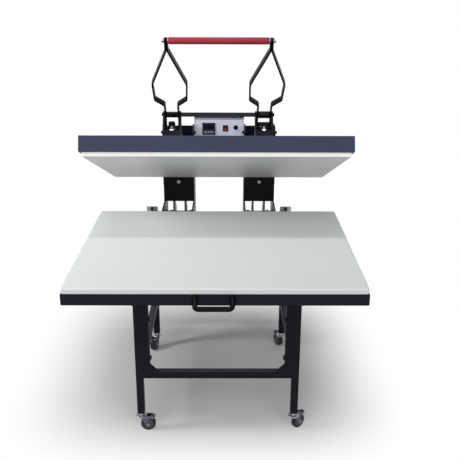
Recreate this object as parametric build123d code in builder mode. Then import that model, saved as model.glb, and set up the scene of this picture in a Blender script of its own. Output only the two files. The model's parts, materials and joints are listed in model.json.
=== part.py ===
"""Large clamshell heat press on a castered stand, with a lower platen that pulls out like a drawer.

X runs to the right, Y to the back and Z up; the floor is Z = 0. Most places are given as "back" (mm
behind the middle of the pushed-in lower platen) and "up" (mm above the top of its pad). Pieces that
swing with the head are drawn in the closed head's own back and up, on planes tipped open about the
hinge. The part stands as photographed: head open, lever up, drawer pulled out.
"""

import os
from math import acos, atan2, cos, degrees, hypot, radians, sin

from build123d import *

# Platens
PLATEN_W = 1000.0
PLATEN_D = 800.0
PAD_T = 20.0
HEAT_PLATE_T = 16.0
PRESS_GAP = 1.0
COVER_LIP = 11.0
COVER_H = 60.0
COVER_WALL = 2.0
COVER_RIM = 25.0
COVER_CORNER = 3.0
PAD_TOP_Z = 892.0

# Travel
OPEN_DEG = 21.0
DRAWER_OUT = 400.0
HEAD_RISE = 6.0

# Side view of the mechanism, closed: back of the platen's middle and up from the pad
HINGE_BACK = PLATEN_D / 2 + 95.0
HINGE_UP = -41.0
LEVER_PIVOT_BACK = 15.0
LEVER_PIVOT_UP = 233.0
ANCHOR_BACK = HINGE_BACK + 10.0
ANCHOR_UP = 100.0
TAIL_LEN = 150.0
LEVER_LEN = 445.0
LEVER_LEAN_DEG = 41.7

# The two uprights and what runs between their plates
UNIT_X = 196.4
UNIT_W = 150.0
SIDE_T = 7.0
UPRIGHT_REAR = HINGE_BACK + 115.0
UPRIGHT_TOP = 268.0
UPRIGHT_CHAMFER = 30.0
UPRIGHT_CUT_D = 70.0
UPRIGHT_CUT_H = 40.0
FOOT_FRONT = HINGE_BACK - 235.0
FOOT_TOP = -103.0
FOOT_CHAMFER = 15.0
FOOT_PLATE_T = 5.0
SPACER_HEAD_R = 8.0
SPACER_HEAD_T = 9.0
STOP_HEAD_R = 7.5
STOP_HEAD_T = 6.0
WEB_T = 5.0
WEB_INSET = 1.0
WEB_TOP = -14.0
STOP_BAR_D = 12.0
STOP_BAR_H = 40.0
STOP_BOLT_R = 5.0
CHEEK_T = 7.0
CHEEK_HALF = 31.5
CHEEK_REACH = 60.0
CHEEK_TOP_HALF = 18.0
RUN = 1.0
ARM_T = 6.0
SPACER_R = 33.0
SPACER_WALL = 5.0
SPACER_BACK = HINGE_BACK + 7.0
SPACER_UP = 234.0

# Pins and bolts
AXLE_R = 12.5
SLEEVE_R = 18.0
FIT = 0.08
SPACER_BOLT_R = 6.0
LEVER_PIN_R = 5.5
LEVER_HEAD_R = 8.5
LEVER_HEAD_T = 6.0
PIVOT_R = 8.0
PIN_R = 6.0
STUD_R = 5.0
BOLT_HEAD_R = 10.0
BOLT_HEAD_T = 8.0

# Arms
ARM_FRONT = -30.0
ARM_LOW = 96.0
ARM_HIGH = 160.0
ARM_ELBOW_BACK = HINGE_BACK - 70.0
ARM_REAR = HINGE_BACK + 22.0
HINGE_LOBE_R = 24.0
HINGE_LOBE_TOP = 28.0
PIVOT_BOSS_R = 15.0
TAIL_PIN_BACK = HINGE_BACK + 88.0
TAIL_PIN_UP = -25.0
TAIL_BOSS_R = 14.0
ARM_CHAMFER = 20.0
EAR_FOOT = 45.0
CROSSHEAD_HALF = 20.0
ELBOW_TIE_BACK = HINGE_BACK - 60.0
ELBOW_TIE_UP = 149.0
ELBOW_TIE_R = 9.0
TIE_BAR = 16.0

# Lever
BAR_T = 7.0
BAR_W = 25.0
BUSH_SIDE = 22.0
BUSH_TURNS = {"left": 0.0, "right": 45.0}
NECK_END = 72.0
SHOULDER_END = 108.0
WIDEST_AT = 205.0
APEX_RUN = 47.0
APEX_SPLAY = 2.2
LEVER_SKEW = 7.2
SHOULDER_HALF = 66.0
WIDEST_HALF = 69.5
GRIP_R = 13.0
GRIP_ROD_R = 6.0
GRIP_ROD_END = 9.0
GRIP_HEAD_R = 7.5
SLOT_HALF = 8.3
SLOT_RUN = 14.2
TAIL_WALL = 7.2
TAIL_NECK = 10.0
LINK_W = 20.0
LINK_T = 16.0
LINK_EYE_R = 14.0
LINK_BOSS_R = 20.0

# Gas struts
STRUT_TOP_UP = 180.0
STRUT_R = 11.0
STRUT_WALL = 1.5
STRUT_BOTTOM_UP = 20.0
STRUT_GUIDE = 6.0
PISTON_STANDOFF = 40.0
STRUT_EYE_R = 12.0
STRUT_EYE_PLAY = 1.0
STRUT_EYE_SHIFT = 0.8
ROD_R = 5.0

# Pressure screws
SCREW_R = 10.0
SCREW_PLAY = 0.3
POST_R = 26.0
POST_FLANGE_R = 55.0
POST_FLANGE_T = 9.0
POST_TOP = 88.0
POST_BORE = 30.0
NUT_UP = 160.3
NUT_H = 10.0
NUT_R = 15.0
KNOB_UP = 181.0
KNOB_H = 17.0
KNOB_L = 60.0
KNOB_W = 28.0
KNOB_TURNS = {"left": 90.0, "right": 0.0}

# Heater and insulation
ELEMENT_R = 4.0
ELEMENT_LEN = 700.0
ELEMENT_SPAN = 50.0
ELEMENT_XS = (60.0, 300.0, 400.0)
BLANKET_T = 28.0
BLANKET_MARGIN = 20.0

# Drawer
FRAME_TUBE = 40.0
FRAME_WALL = 2.0
TRAY_T = 4.0
RUNNER_H = 40.0
RUNNER_START = 10.0
TRAY_BAR_BACKS = (-PLATEN_D / 4, 0.0, PLATEN_D / 4)
RAIL_X = 325.0
RAIL_W = 20.0
RAIL_H = 17.0
RAIL_PLAY = 0.3
CARRIAGE_W = 44.0
CARRIAGE_L = 70.0
CARRIAGE_BACKS = (50.0, PLATEN_D / 2 - 50.0)
CARRIAGE_LIFT = 5.0
BUFFER_R = 8.0
BUFFER_T = 12.0
STOP_PLATE_T = 4.0
STOP_W = 54.0
STOP_FOOT = 38.0
STOP_CLEAR = 10.0
HANDLE_X = -4.5
HANDLE_W = 122.0
HANDLE_R = 7.5
HANDLE_REACH = 48.0
HANDLE_DROOP_DEG = 28.0
HANDLE_BEND_R = 13.0
HANDLE_UP = -33.0
HANDLE_FOOT_T = 7.5
HANDLE_FOOT_R = 10.5

# Machine base
SIDE_RAIL_W = 40.0
SIDE_RAIL_H = 60.0
BASE_TOP = -145.0
BASE_FRONT = -PLATEN_D / 2 - 40.0
BASE_REAR = PLATEN_D / 2 + 40.0
CROSS_TUBE = 40.0
CROSS_BACKS = (BASE_FRONT + 100.0, HINGE_BACK - 205.0, HINGE_BACK + 95.0)

# Stand
LEG_TUBE = 30.0
LEG_WALL = 2.0
LEG_X = 325.0
FRONT_LEG_BACK = 103.0 - PLATEN_D / 2
REAR_LEG_BACK = PLATEN_D / 2 + 20.0
TOP_RAIL_FRONT = 40.0 - PLATEN_D / 2
LEG_BOTTOM_Z = 85.0
BEAM_Z = 274.0
GUSSET_W = 42.0
GUSSET_T = 4.0
JOIN_R = 5.0
JOIN_INSET = 90.0
JOIN_END = 6.0

# Casters: wheel trail directions in degrees from +X towards +Y
WHEEL_R = 31.5
WHEEL_W = 20.0
HUB_R = 22.0
CASTER_TRAIL = 28.0
AXLE_BOLT_R = 4.0
CROWN_Z = 68.0
CROWN_T = 4.0
CROWN_R = 24.0
FORK_T = 2.5
FORK_GAP = 1.5
FORK_BACK = 8.0
FORK_NECK = 7.0
FORK_ARCH = 14.0
STEM_R = 6.0
STEM_HEAD_R = 10.0
STEM_HEAD_T = 6.0
STEM_COLLAR_R = 12.0
AXLE_BOSS_R = 9.0
HUB_INSET = 2.0
TYRE_CHAMFER = 2.0
PEDAL_X = 47.0
PEDAL_Z = 64.0
PEDAL_BOSS_R = 5.0
PEDAL_PIN_R = 1.6
PEDAL_REACH = 11.0
PEDAL_RISE = 5.0
PEDAL_T = 3.0
CASTER_TURNS = {"front_left": 0.0, "front_right": 40.0, "rear_left": -115.0, "rear_right": 120.0}

# Control box
BOX_FRONT = HINGE_BACK + 49.0
BOX_DEPTH = 100.0
BOX_LOW = 195.0
BOX_HIGH = 295.0
BOX_WALL = 1.5
PANEL_T = 2.0
PANEL_BEVEL = 8.0
CONTROLLER_X = -50.0
CONTROLLER_UP = 244.0
CONTROLLER_W = 64.0
CONTROLLER_H = 58.0
CONTROLLER_D = 60.0
BEZEL_T = 4.0
BEZEL_LIP = 3.0
DISPLAY_W = 50.0
DISPLAY_H = 22.0
DISPLAY_T = 1.0
DISPLAY_RAISE = 9.0
KEY_W = 11.0
KEY_H = 7.0
KEY_PITCH = 16.0
KEY_DROP = 17.0
KEY_OUT = 1.5
KEY_DEEP = 2.5
ROCKER_X = 31.0
ROCKER_UP = 246.0
ROCKER_W = 26.0
ROCKER_H = 30.0
ROCKER_LIP = 2.0
ROCKER_RIM = 1.6
ROCKER_DEEP = 20.0
ROCKER_FACE = 5.0
ROCKER_TILT_DEG = 8.0
TRUNNION_R = 1.5
BUTTON_X = 81.5
BUTTON_UP = 250.0
BUTTON_R = 8.0
BUTTON_RIM = 3.0
BUTTON_OUT = 3.0
COLLAR_DEEP = 14.0
GLAND_X = 60.0
GLAND_R = 12.0
GLAND_NUT_T = 6.0
GLAND_T = 14.0
CORD_R = 4.0
CONTROL_PLAY = 0.3

# Places worked out from the sizes above
BACK_REACH = BOX_FRONT + BOX_DEPTH
PLATEN_Y = (PLATEN_D / 2 + DRAWER_OUT + HANDLE_REACH - BACK_REACH) / 2
UNIT_HALF = UNIT_W / 2
SIDE_IN = UNIT_HALF - SIDE_T
CHEEK_IN = CHEEK_HALF - CHEEK_T
ARM_IN = CHEEK_HALF + RUN
ARM_OUT = ARM_IN + ARM_T
STRUT_X = (ARM_OUT + SIDE_IN) / 2
HEAT_PLATE_TOP = PRESS_GAP + HEAT_PLATE_T
COVER_TOP = HEAT_PLATE_TOP + COVER_H
FRAME_TOP = -PAD_T
FRAME_LOW = FRAME_TOP - FRAME_TUBE
RUNNER_LOW = FRAME_LOW - RUNNER_H
BASE_LOW = BASE_TOP - SIDE_RAIL_H
CROSS_LOW = BASE_LOW - CROSS_TUBE
LEG_TOP = CROSS_LOW - LEG_TUBE
LEG_BOTTOM = LEG_BOTTOM_Z - PAD_TOP_Z
BEAM_MID = BEAM_Z - PAD_TOP_Z
BOX_W = 2 * (UNIT_X - UNIT_HALF)
SIDES = {"left": -1, "right": 1}


def turned(back, up, deg):
    """Turns a back-and-up pair about the X axis, positive lowering what lies in front."""
    c, s = cos(radians(deg)), sin(radians(deg))
    return back * c - up * s, back * s + up * c


def head_point(back, up):
    """Where a point of the closed head stands with the head open, still as back and up."""
    b, u = turned(back - HINGE_BACK, up - HINGE_UP, -OPEN_DEG)
    return HINGE_BACK + b, HINGE_UP + u


def world(x, back, up):
    """A place from X, back and up."""
    return (x, PLATEN_Y + back, PAD_TOP_Z + up)


def side(x):
    """Side-view plane of the fixed parts: local x is back, local y is up."""
    return Plane(origin=world(x, 0, 0), x_dir=(0, 1, 0), z_dir=(1, 0, 0))


def level(up, x=0, back=0):
    """Top-view plane of the fixed parts: local x is X, local y is back."""
    return Plane(origin=world(x, back, up), x_dir=(1, 0, 0), z_dir=(0, 0, 1))


def facing(back, x=0, up=0):
    """Front-view plane whose normal points to the back: local x is X, local y is down."""
    return Plane(origin=world(x, back, up), x_dir=(1, 0, 0), z_dir=(0, 1, 0))


TIP_C = cos(radians(OPEN_DEG))
TIP_S = sin(radians(OPEN_DEG))


def head_side(x):
    """Side-view plane that rides with the open head, in the closed head's back and up."""
    return Plane(origin=world(x, *head_point(0, 0)), x_dir=(0, TIP_C, -TIP_S), z_dir=(1, 0, 0))


def head_level(up, x=0, back=0):
    """Top-view plane that rides with the open head."""
    return Plane(origin=world(x, *head_point(back, up)), x_dir=(1, 0, 0), z_dir=(0, TIP_S, TIP_C))


# The toggle stands straight from lever pivot to anchor when the head is closed
PIVOT_OPEN = head_point(LEVER_PIVOT_BACK, LEVER_PIVOT_UP)
CLOSED_SPAN = hypot(ANCHOR_BACK - LEVER_PIVOT_BACK, ANCHOR_UP - LEVER_PIVOT_UP)
LINK_LEN = CLOSED_SPAN - TAIL_LEN
OPEN_SPAN = hypot(ANCHOR_BACK - PIVOT_OPEN[0], ANCHOR_UP - PIVOT_OPEN[1])
KNEE_DEG = degrees(acos((TAIL_LEN**2 + OPEN_SPAN**2 - LINK_LEN**2) / (2 * TAIL_LEN * OPEN_SPAN)))
TAIL_DEG = degrees(atan2(ANCHOR_UP - PIVOT_OPEN[1], ANCHOR_BACK - PIVOT_OPEN[0])) - KNEE_DEG
KNEE = (
    PIVOT_OPEN[0] + TAIL_LEN * cos(radians(TAIL_DEG)),
    PIVOT_OPEN[1] + TAIL_LEN * sin(radians(TAIL_DEG)),
)
LINK_DEG = degrees(atan2(KNEE[1] - ANCHOR_UP, KNEE[0] - ANCHOR_BACK))
CLOSED_DEG = degrees(atan2(ANCHOR_UP - LEVER_PIVOT_UP, ANCHOR_BACK - LEVER_PIVOT_BACK))
LEVER_TURN = CLOSED_DEG - TAIL_DEG
LINK_TURN = (CLOSED_DEG + 180) - LINK_DEG
TAIL_PIN = head_point(TAIL_PIN_BACK, TAIL_PIN_UP)
STRUT_LIFT = TAIL_PIN_UP - TAIL_PIN[1]
OPEN_COVER_REAR = head_point(PLATEN_D / 2 + COVER_LIP, COVER_TOP)[0] + HEAD_RISE * TIP_S
UPRIGHT_FRONT = OPEN_COVER_REAR + 2 * RUN
STRUT_BACK = TAIL_PIN[0] + STRUT_EYE_SHIFT
STRUT_TOP = (STRUT_BACK, STRUT_TOP_UP)
ANCHOR = (ANCHOR_BACK, ANCHOR_UP)
HINGE = (HINGE_BACK, HINGE_UP)

print("lever follows head by", round((LEVER_TURN - OPEN_DEG) / OPEN_DEG, 5))
print("links follow head by", round(LINK_TURN / OPEN_DEG, 5))
print("strut rods follow head by, m per rad", round(STRUT_LIFT / radians(OPEN_DEG) / 1000, 5))
for place, spot in (
    ("head hinge", (HINGE_BACK, HINGE_UP)),
    ("lever pivot", PIVOT_OPEN),
    ("knee", KNEE),
    ("anchor", (ANCHOR_BACK, ANCHOR_UP)),
    ("tail pin", TAIL_PIN),
):
    print(place, "Y, Z in m", [round(v / 1000, 5) for v in world(0, *spot)[1:]])

os.makedirs("parts", exist_ok=True)


def save(name, *pieces):
    """Writes one node: a single part, or a group of separate solids."""
    node = pieces[0] if len(pieces) == 1 else Compound(children=list(pieces))
    node.label = name
    export_step(node, f"parts/{name}.step")


def tube(plane, width, height, length, wall=0.0, drills=()):
    """A straight rectangular bar along the plane's normal, hollow where it has a wall.

    Each drill is a plane, a radius and a depth.
    """
    with BuildPart() as run:
        with BuildSketch(plane):
            Rectangle(width, height)
            if wall:
                Rectangle(width - 2 * wall, height - 2 * wall, mode=Mode.SUBTRACT)
        extrude(amount=length)
        for spot, radius, depth in drills:
            with BuildSketch(spot):
                Circle(radius)
            extrude(amount=depth, mode=Mode.SUBTRACT)
    return run.part


def rod(plane, radius, length, bore=0.0):
    """A round bar along the plane's normal, bored where it has a bore radius."""
    with BuildPart() as run:
        with BuildSketch(plane):
            Circle(radius)
            if bore:
                Circle(bore, mode=Mode.SUBTRACT)
        extrude(amount=length)
    return run.part


def across(x, spot, direction=1):
    """Plane at a back-and-up spot whose normal runs along X, to the right or to the left."""
    return Plane(origin=world(x, *spot), x_dir=(0, 1, 0), z_dir=(direction, 0, 0))


def cross_bar(x, spot, half, radius, bore=0.0):
    """A round bar along X, centred on x at a back-and-up spot."""
    return rod(across(x - half, spot), radius, 2 * half, bore)


def hex_bolt(plane, shank_r, length, head_r=BOLT_HEAD_R, head_t=BOLT_HEAD_T, nut_t=0.0):
    """A hexagon bolt: its head stands behind the plane, its shank and any nut lie along the normal."""
    with BuildPart() as bolt:
        with BuildSketch(plane):
            RegularPolygon(head_r, 6)
        extrude(amount=-head_t)
        with BuildSketch(plane):
            Circle(shank_r)
        extrude(amount=length)
        if nut_t:
            with BuildSketch(plane.offset(length)):
                RegularPolygon(head_r, 6)
            extrude(amount=nut_t)
    return bolt.part


# Stand: two side frames joined by two U-shaped cross frames
leg_backs = (FRONT_LEG_BACK, REAR_LEG_BACK)
leg_len = LEG_TOP - LEG_BOTTOM
doubler_x = LEG_X - LEG_TUBE
doubler_in = doubler_x - LEG_TUBE / 2
beam_low = BEAM_MID - LEG_TUBE / 2
join_ups = (beam_low + JOIN_INSET, LEG_TOP - JOIN_INSET)
join_len = LEG_TUBE + LEG_WALL + JOIN_END
bolts = []
for name, sign in SIDES.items():
    x = sign * LEG_X
    rail_len = UPRIGHT_REAR - TOP_RAIL_FRONT
    pieces = [tube(facing(TOP_RAIL_FRONT, x, LEG_TOP + LEG_TUBE / 2), LEG_TUBE, LEG_TUBE, rail_len, LEG_WALL)]
    for back in leg_backs:
        drills = [(across(sign * doubler_in, (back, up), sign), JOIN_R + FIT, join_len) for up in join_ups]
        leg = level(LEG_BOTTOM, x, back)
        pieces.append(tube(leg, LEG_TUBE, LEG_TUBE, leg_len, LEG_WALL, drills))
        plug = LEG_TUBE - 2 * LEG_WALL
        with BuildPart() as foot:
            with BuildSketch(level(LEG_BOTTOM, x, back)):
                Rectangle(plug, plug)
                Circle(STEM_R, mode=Mode.SUBTRACT)
            extrude(amount=plug)
        pieces.append(foot.part)
    beam_start = FRONT_LEG_BACK + LEG_TUBE / 2
    beam_len = REAR_LEG_BACK - FRONT_LEG_BACK - LEG_TUBE
    pieces.append(tube(facing(beam_start, x, BEAM_MID), LEG_TUBE, LEG_TUBE, beam_len, LEG_WALL))
    save(f"side_frame_{name}", *pieces)

for name, back, front_sign in (("front", FRONT_LEG_BACK, -1), ("rear", REAR_LEG_BACK, 1)):
    beam = Plane(origin=world(-doubler_in, back, BEAM_MID), x_dir=(0, 1, 0), z_dir=(1, 0, 0))
    pieces = [tube(beam, LEG_TUBE, LEG_TUBE, 2 * doubler_in, LEG_WALL)]
    for sign in SIDES.values():
        post = level(beam_low, sign * doubler_x, back)
        drills = [(across(sign * doubler_in, (back, up), sign), JOIN_R + FIT, join_len) for up in join_ups]
        pieces.append(tube(post, LEG_TUBE, LEG_TUBE, LEG_TOP - beam_low, LEG_WALL, drills))
        face = facing(back + front_sign * LEG_TUBE / 2, sign * doubler_in, BEAM_MID + LEG_TUBE / 2)
        with BuildPart() as gusset:
            with BuildSketch(face):
                with BuildLine():
                    Polyline((0, 0), (-sign * GUSSET_W, 0), (0, -GUSSET_W), close=True)
                make_face()
            extrude(amount=-front_sign * GUSSET_T)
        pieces.append(gusset.part)
        for up in join_ups:
            bolts.append(hex_bolt(across(sign * doubler_in, (back, up), sign), JOIN_R, join_len))
    save(f"{name}_cross_frame", *pieces)

# Machine base: two side rails on the front two cross tubes, and a third one under the uprights
base_len = BASE_REAR - BASE_FRONT
pieces = []
for sign in SIDES.values():
    rail = facing(BASE_FRONT, sign * RAIL_X, BASE_TOP - SIDE_RAIL_H / 2)
    pieces.append(tube(rail, SIDE_RAIL_W, SIDE_RAIL_H, base_len, LEG_WALL))
cross_half = RAIL_X + SIDE_RAIL_W / 2
for back in CROSS_BACKS:
    cross = Plane(
        origin=world(-cross_half, back, BASE_LOW - CROSS_TUBE / 2), x_dir=(0, 1, 0), z_dir=(1, 0, 0)
    )
    pieces.append(tube(cross, CROSS_TUBE, CROSS_TUBE, 2 * cross_half, LEG_WALL))
save("base_frame", *pieces)

# Guide rails with an end stop and a rubber buffer at each end
front_stop = CARRIAGE_BACKS[0] - CARRIAGE_L / 2 - DRAWER_OUT
rear_stop = CARRIAGE_BACKS[1] + CARRIAGE_L / 2
rail_ends = (front_stop - BUFFER_T, rear_stop + BUFFER_T)
with BuildPart() as rails:
    with BuildSketch(facing(rail_ends[0])):
        for sign in SIDES.values():
            with Locations((sign * RAIL_X, -BASE_TOP - RAIL_H / 2)):
                Rectangle(RAIL_W, RAIL_H)
    extrude(amount=rail_ends[1] - rail_ends[0])
save("guide_rails", rails.part)

stop_top = RUNNER_LOW - STOP_CLEAR
buffer_up = stop_top - BUFFER_R - RUN
pieces = []
for sign in SIDES.values():
    for end, rail_end in zip((-1, 1), rail_ends):
        face = rail_end + end * RAIL_PLAY
        outline = (
            (face, BASE_TOP),
            (face, stop_top),
            (face + end * STOP_PLATE_T, stop_top),
            (face + end * STOP_PLATE_T, BASE_TOP + STOP_PLATE_T),
            (face + end * STOP_FOOT, BASE_TOP + STOP_PLATE_T),
            (face + end * STOP_FOOT, BASE_TOP),
        )
        with BuildPart() as stop:
            with BuildSketch(side(sign * RAIL_X - STOP_W / 2)):
                with BuildLine():
                    Polyline(*outline, close=True)
                make_face()
            extrude(amount=STOP_W)
        pieces.append(stop.part)
        nose = Plane(origin=world(sign * RAIL_X, face, buffer_up), x_dir=(1, 0, 0), z_dir=(0, -end, 0))
        pieces.append(rod(nose, BUFFER_R, BUFFER_T))
save("rail_end_stops", *pieces)

# Uprights: two L-shaped side plates, two cheeks, a front web, a stop bar and a foot plate, welded
side_outline = (
    (FOOT_FRONT, BASE_LOW),
    (FOOT_FRONT, FOOT_TOP - FOOT_CHAMFER),
    (FOOT_FRONT + FOOT_CHAMFER, FOOT_TOP),
    (UPRIGHT_FRONT, FOOT_TOP),
    (UPRIGHT_FRONT, UPRIGHT_TOP - UPRIGHT_CHAMFER),
    (UPRIGHT_FRONT + UPRIGHT_CHAMFER, UPRIGHT_TOP),
    (UPRIGHT_REAR - UPRIGHT_CUT_D, UPRIGHT_TOP),
    (UPRIGHT_REAR, UPRIGHT_TOP - UPRIGHT_CUT_H),
    (UPRIGHT_REAR, BASE_LOW),
)
web_back = UPRIGHT_FRONT + WEB_INSET
cheek_front = web_back + WEB_T
cheek_rear = ANCHOR_BACK + CHEEK_REACH
cheek_outline = (
    (cheek_front, BASE_LOW + FOOT_PLATE_T),
    (cheek_front, ANCHOR_UP - LINK_BOSS_R),
    (ANCHOR_BACK - CHEEK_TOP_HALF, ANCHOR_UP + CHEEK_TOP_HALF),
    (ANCHOR_BACK + CHEEK_TOP_HALF, ANCHOR_UP + CHEEK_TOP_HALF),
    (cheek_rear, ANCHOR_UP - CHEEK_REACH),
    (cheek_rear, BASE_LOW + CHEEK_REACH + FOOT_PLATE_T),
    (UPRIGHT_REAR, BASE_LOW + CHEEK_REACH / 2),
    (UPRIGHT_REAR, BASE_LOW + FOOT_PLATE_T),
)
for name, sign in SIDES.items():
    middle = sign * UNIT_X
    pieces = []
    for start in (-UNIT_HALF, SIDE_IN):
        with BuildPart() as plate:
            with BuildSketch(side(middle + start)):
                with BuildLine():
                    Polyline(*side_outline, close=True)
                make_face()
                with Locations((HINGE_BACK, HINGE_UP)):
                    Circle(AXLE_R + FIT, mode=Mode.SUBTRACT)
                with Locations((SPACER_BACK, SPACER_UP)):
                    Circle(SPACER_BOLT_R + FIT, mode=Mode.SUBTRACT)
                with Locations(STRUT_TOP):
                    Circle(STUD_R + FIT, mode=Mode.SUBTRACT)
            extrude(amount=SIDE_T)
        pieces.append(plate.part)
    for start in (-CHEEK_HALF, CHEEK_IN):
        with BuildPart() as cheek:
            with BuildSketch(side(middle + start)):
                with BuildLine():
                    Polyline(*cheek_outline, close=True)
                make_face()
                with Locations((HINGE_BACK, HINGE_UP)):
                    Circle(AXLE_R + FIT, mode=Mode.SUBTRACT)
                with Locations((ANCHOR_BACK, ANCHOR_UP)):
                    Circle(PIVOT_R, mode=Mode.SUBTRACT)
            extrude(amount=CHEEK_T)
        pieces.append(cheek.part)
    web_up = (WEB_TOP + FOOT_TOP) / 2
    pieces.append(tube(facing(web_back, middle, web_up), 2 * SIDE_IN, WEB_TOP - FOOT_TOP, WEB_T))
    stop_bar_up = WEB_TOP + STOP_BAR_H / 2
    with BuildPart() as stop_bar:
        with BuildSketch(facing(UPRIGHT_FRONT - STOP_BAR_D, middle, stop_bar_up)):
            Rectangle(UNIT_W, STOP_BAR_H)
            with Locations((0, stop_bar_up)):
                Circle(STOP_BOLT_R + FIT, mode=Mode.SUBTRACT)
        extrude(amount=STOP_BAR_D)
    pieces.append(stop_bar.part)
    foot_depth = UPRIGHT_REAR - UPRIGHT_FRONT
    foot_back = (UPRIGHT_REAR + UPRIGHT_FRONT) / 2
    pieces.append(tube(level(BASE_LOW, middle, foot_back), 2 * SIDE_IN, foot_depth, FOOT_PLATE_T))
    save(f"upright_{name}", *pieces)

# Spacer tubes across the tops of the uprights, and the stop bar bolts
spacer = (SPACER_BACK, SPACER_UP)
spacer_tubes = []
for sign in SIDES.values():
    middle = sign * UNIT_X
    spacer_tubes.append(cross_bar(middle, spacer, SIDE_IN, SPACER_R, SPACER_R - SPACER_WALL))
    stop_face = facing(UPRIGHT_FRONT - STOP_BAR_D, middle, 0)
    stop_len = STOP_BAR_D + WEB_INSET + WEB_T
    bolts.append(hex_bolt(stop_face, STOP_BOLT_R, stop_len, STOP_HEAD_R, STOP_HEAD_T))
save("spacer_tubes", *spacer_tubes)
save("machine_bolts", *bolts)

# Pins of the uprights: spacer bolts, hinge axles with their sleeves, toggle anchor pins and strut studs
pieces = []
for sign in SIDES.values():
    middle = sign * UNIT_X
    through = across(middle - UNIT_HALF, spacer)
    pieces.append(hex_bolt(through, SPACER_BOLT_R, UNIT_W, SPACER_HEAD_R, SPACER_HEAD_T, SPACER_HEAD_T))
    pieces.append(cross_bar(middle, HINGE, UNIT_HALF, AXLE_R))
    pieces.append(cross_bar(middle, ANCHOR, CHEEK_HALF, PIVOT_R))
    for hand in (-1, 1):
        sleeve_half = (SIDE_IN - ARM_OUT - RUN) / 2
        sleeve_x = middle + hand * (SIDE_IN - sleeve_half)
        pieces.append(cross_bar(sleeve_x, HINGE, sleeve_half, SLEEVE_R, AXLE_R))
        stud = across(middle + hand * UNIT_HALF, STRUT_TOP, -hand)
        pieces.append(hex_bolt(stud, STUD_R, UNIT_HALF - ARM_OUT - RUN))
save("upright_pins", *pieces)

# Gas struts: cylinders hung on the studs, rods pushing down on the tails of the arms
strut_xs = [sign * UNIT_X + hand * STRUT_X for sign in SIDES.values() for hand in (-1, 1)]
eye_t = 2 * (SIDE_IN - STRUT_X - RUN) - BOLT_HEAD_T
cylinder_top = STRUT_TOP_UP - STRUT_EYE_R
cylinders = []
rods = []
piston_up = STRUT_BOTTOM_UP + PISTON_STANDOFF
for x in strut_xs:
    with BuildPart() as cylinder:
        with BuildSketch(level(STRUT_BOTTOM_UP, x, STRUT_BACK)):
            Circle(STRUT_R)
        extrude(amount=cylinder_top - STRUT_BOTTOM_UP)
        with BuildSketch(across(x - eye_t / 2, STRUT_TOP)):
            Circle(STRUT_EYE_R)
            with Locations((0, -STRUT_EYE_R)):
                Rectangle(2 * STRUT_R - 2 * STRUT_WALL, 2 * STRUT_EYE_R)
        extrude(amount=eye_t)
        with BuildSketch(across(x - eye_t / 2, STRUT_TOP)):
            Circle(STUD_R)
        extrude(amount=eye_t, mode=Mode.SUBTRACT)
        with BuildSketch(level(STRUT_BOTTOM_UP, x, STRUT_BACK)):
            Circle(ROD_R + FIT)
        extrude(amount=STRUT_GUIDE, mode=Mode.SUBTRACT)
        with BuildSketch(level(STRUT_BOTTOM_UP + STRUT_GUIDE, x, STRUT_BACK)):
            Circle(STRUT_R - STRUT_WALL)
        extrude(amount=cylinder_top - STRUT_BOTTOM_UP - 3 * STRUT_GUIDE, mode=Mode.SUBTRACT)
    cylinders.append(cylinder.part)
    with BuildPart() as strut_rod:
        with BuildSketch(level(TAIL_PIN[1], x, STRUT_BACK)):
            Circle(ROD_R)
        extrude(amount=piston_up - TAIL_PIN[1])
        with BuildSketch(level(piston_up, x, STRUT_BACK)):
            Circle(STRUT_R - STRUT_WALL - FIT)
        extrude(amount=STRUT_GUIDE)
        with BuildSketch(across(x - eye_t / 2, (STRUT_BACK, TAIL_PIN[1]))):
            Circle(STRUT_EYE_R)
        extrude(amount=eye_t)
        with BuildSketch(across(x - eye_t / 2, (STRUT_BACK, TAIL_PIN[1]))):
            Circle(STUD_R + STRUT_EYE_PLAY)
        extrude(amount=eye_t, mode=Mode.SUBTRACT)
    rods.append(strut_rod.part)
save("strut_cylinders", *cylinders)
save("strut_rods", *rods)

# Arms: two plates a side, joined by the crosshead that the pressure screw passes and by an elbow tie
arm_outline = (
    (ARM_FRONT, ARM_LOW),
    (ARM_ELBOW_BACK, ARM_LOW),
    (HINGE_BACK - HINGE_LOBE_R, HINGE_LOBE_TOP),
    (HINGE_BACK - HINGE_LOBE_R, HINGE_UP),
    (HINGE_BACK, HINGE_UP - HINGE_LOBE_R),
    (TAIL_PIN_BACK, TAIL_PIN_UP - TAIL_BOSS_R),
    (TAIL_PIN_BACK, TAIL_PIN_UP + TAIL_BOSS_R),
    (ARM_REAR, TAIL_PIN_UP + 2 * TAIL_BOSS_R),
    (ARM_REAR, ARM_HIGH - ARM_CHAMFER),
    (ARM_REAR - ARM_CHAMFER, ARM_HIGH),
    (LEVER_PIVOT_BACK + EAR_FOOT, ARM_HIGH),
    (LEVER_PIVOT_BACK + PIVOT_BOSS_R, LEVER_PIVOT_UP),
    (LEVER_PIVOT_BACK - PIVOT_BOSS_R, LEVER_PIVOT_UP),
    (ARM_FRONT, ARM_HIGH),
)
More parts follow.
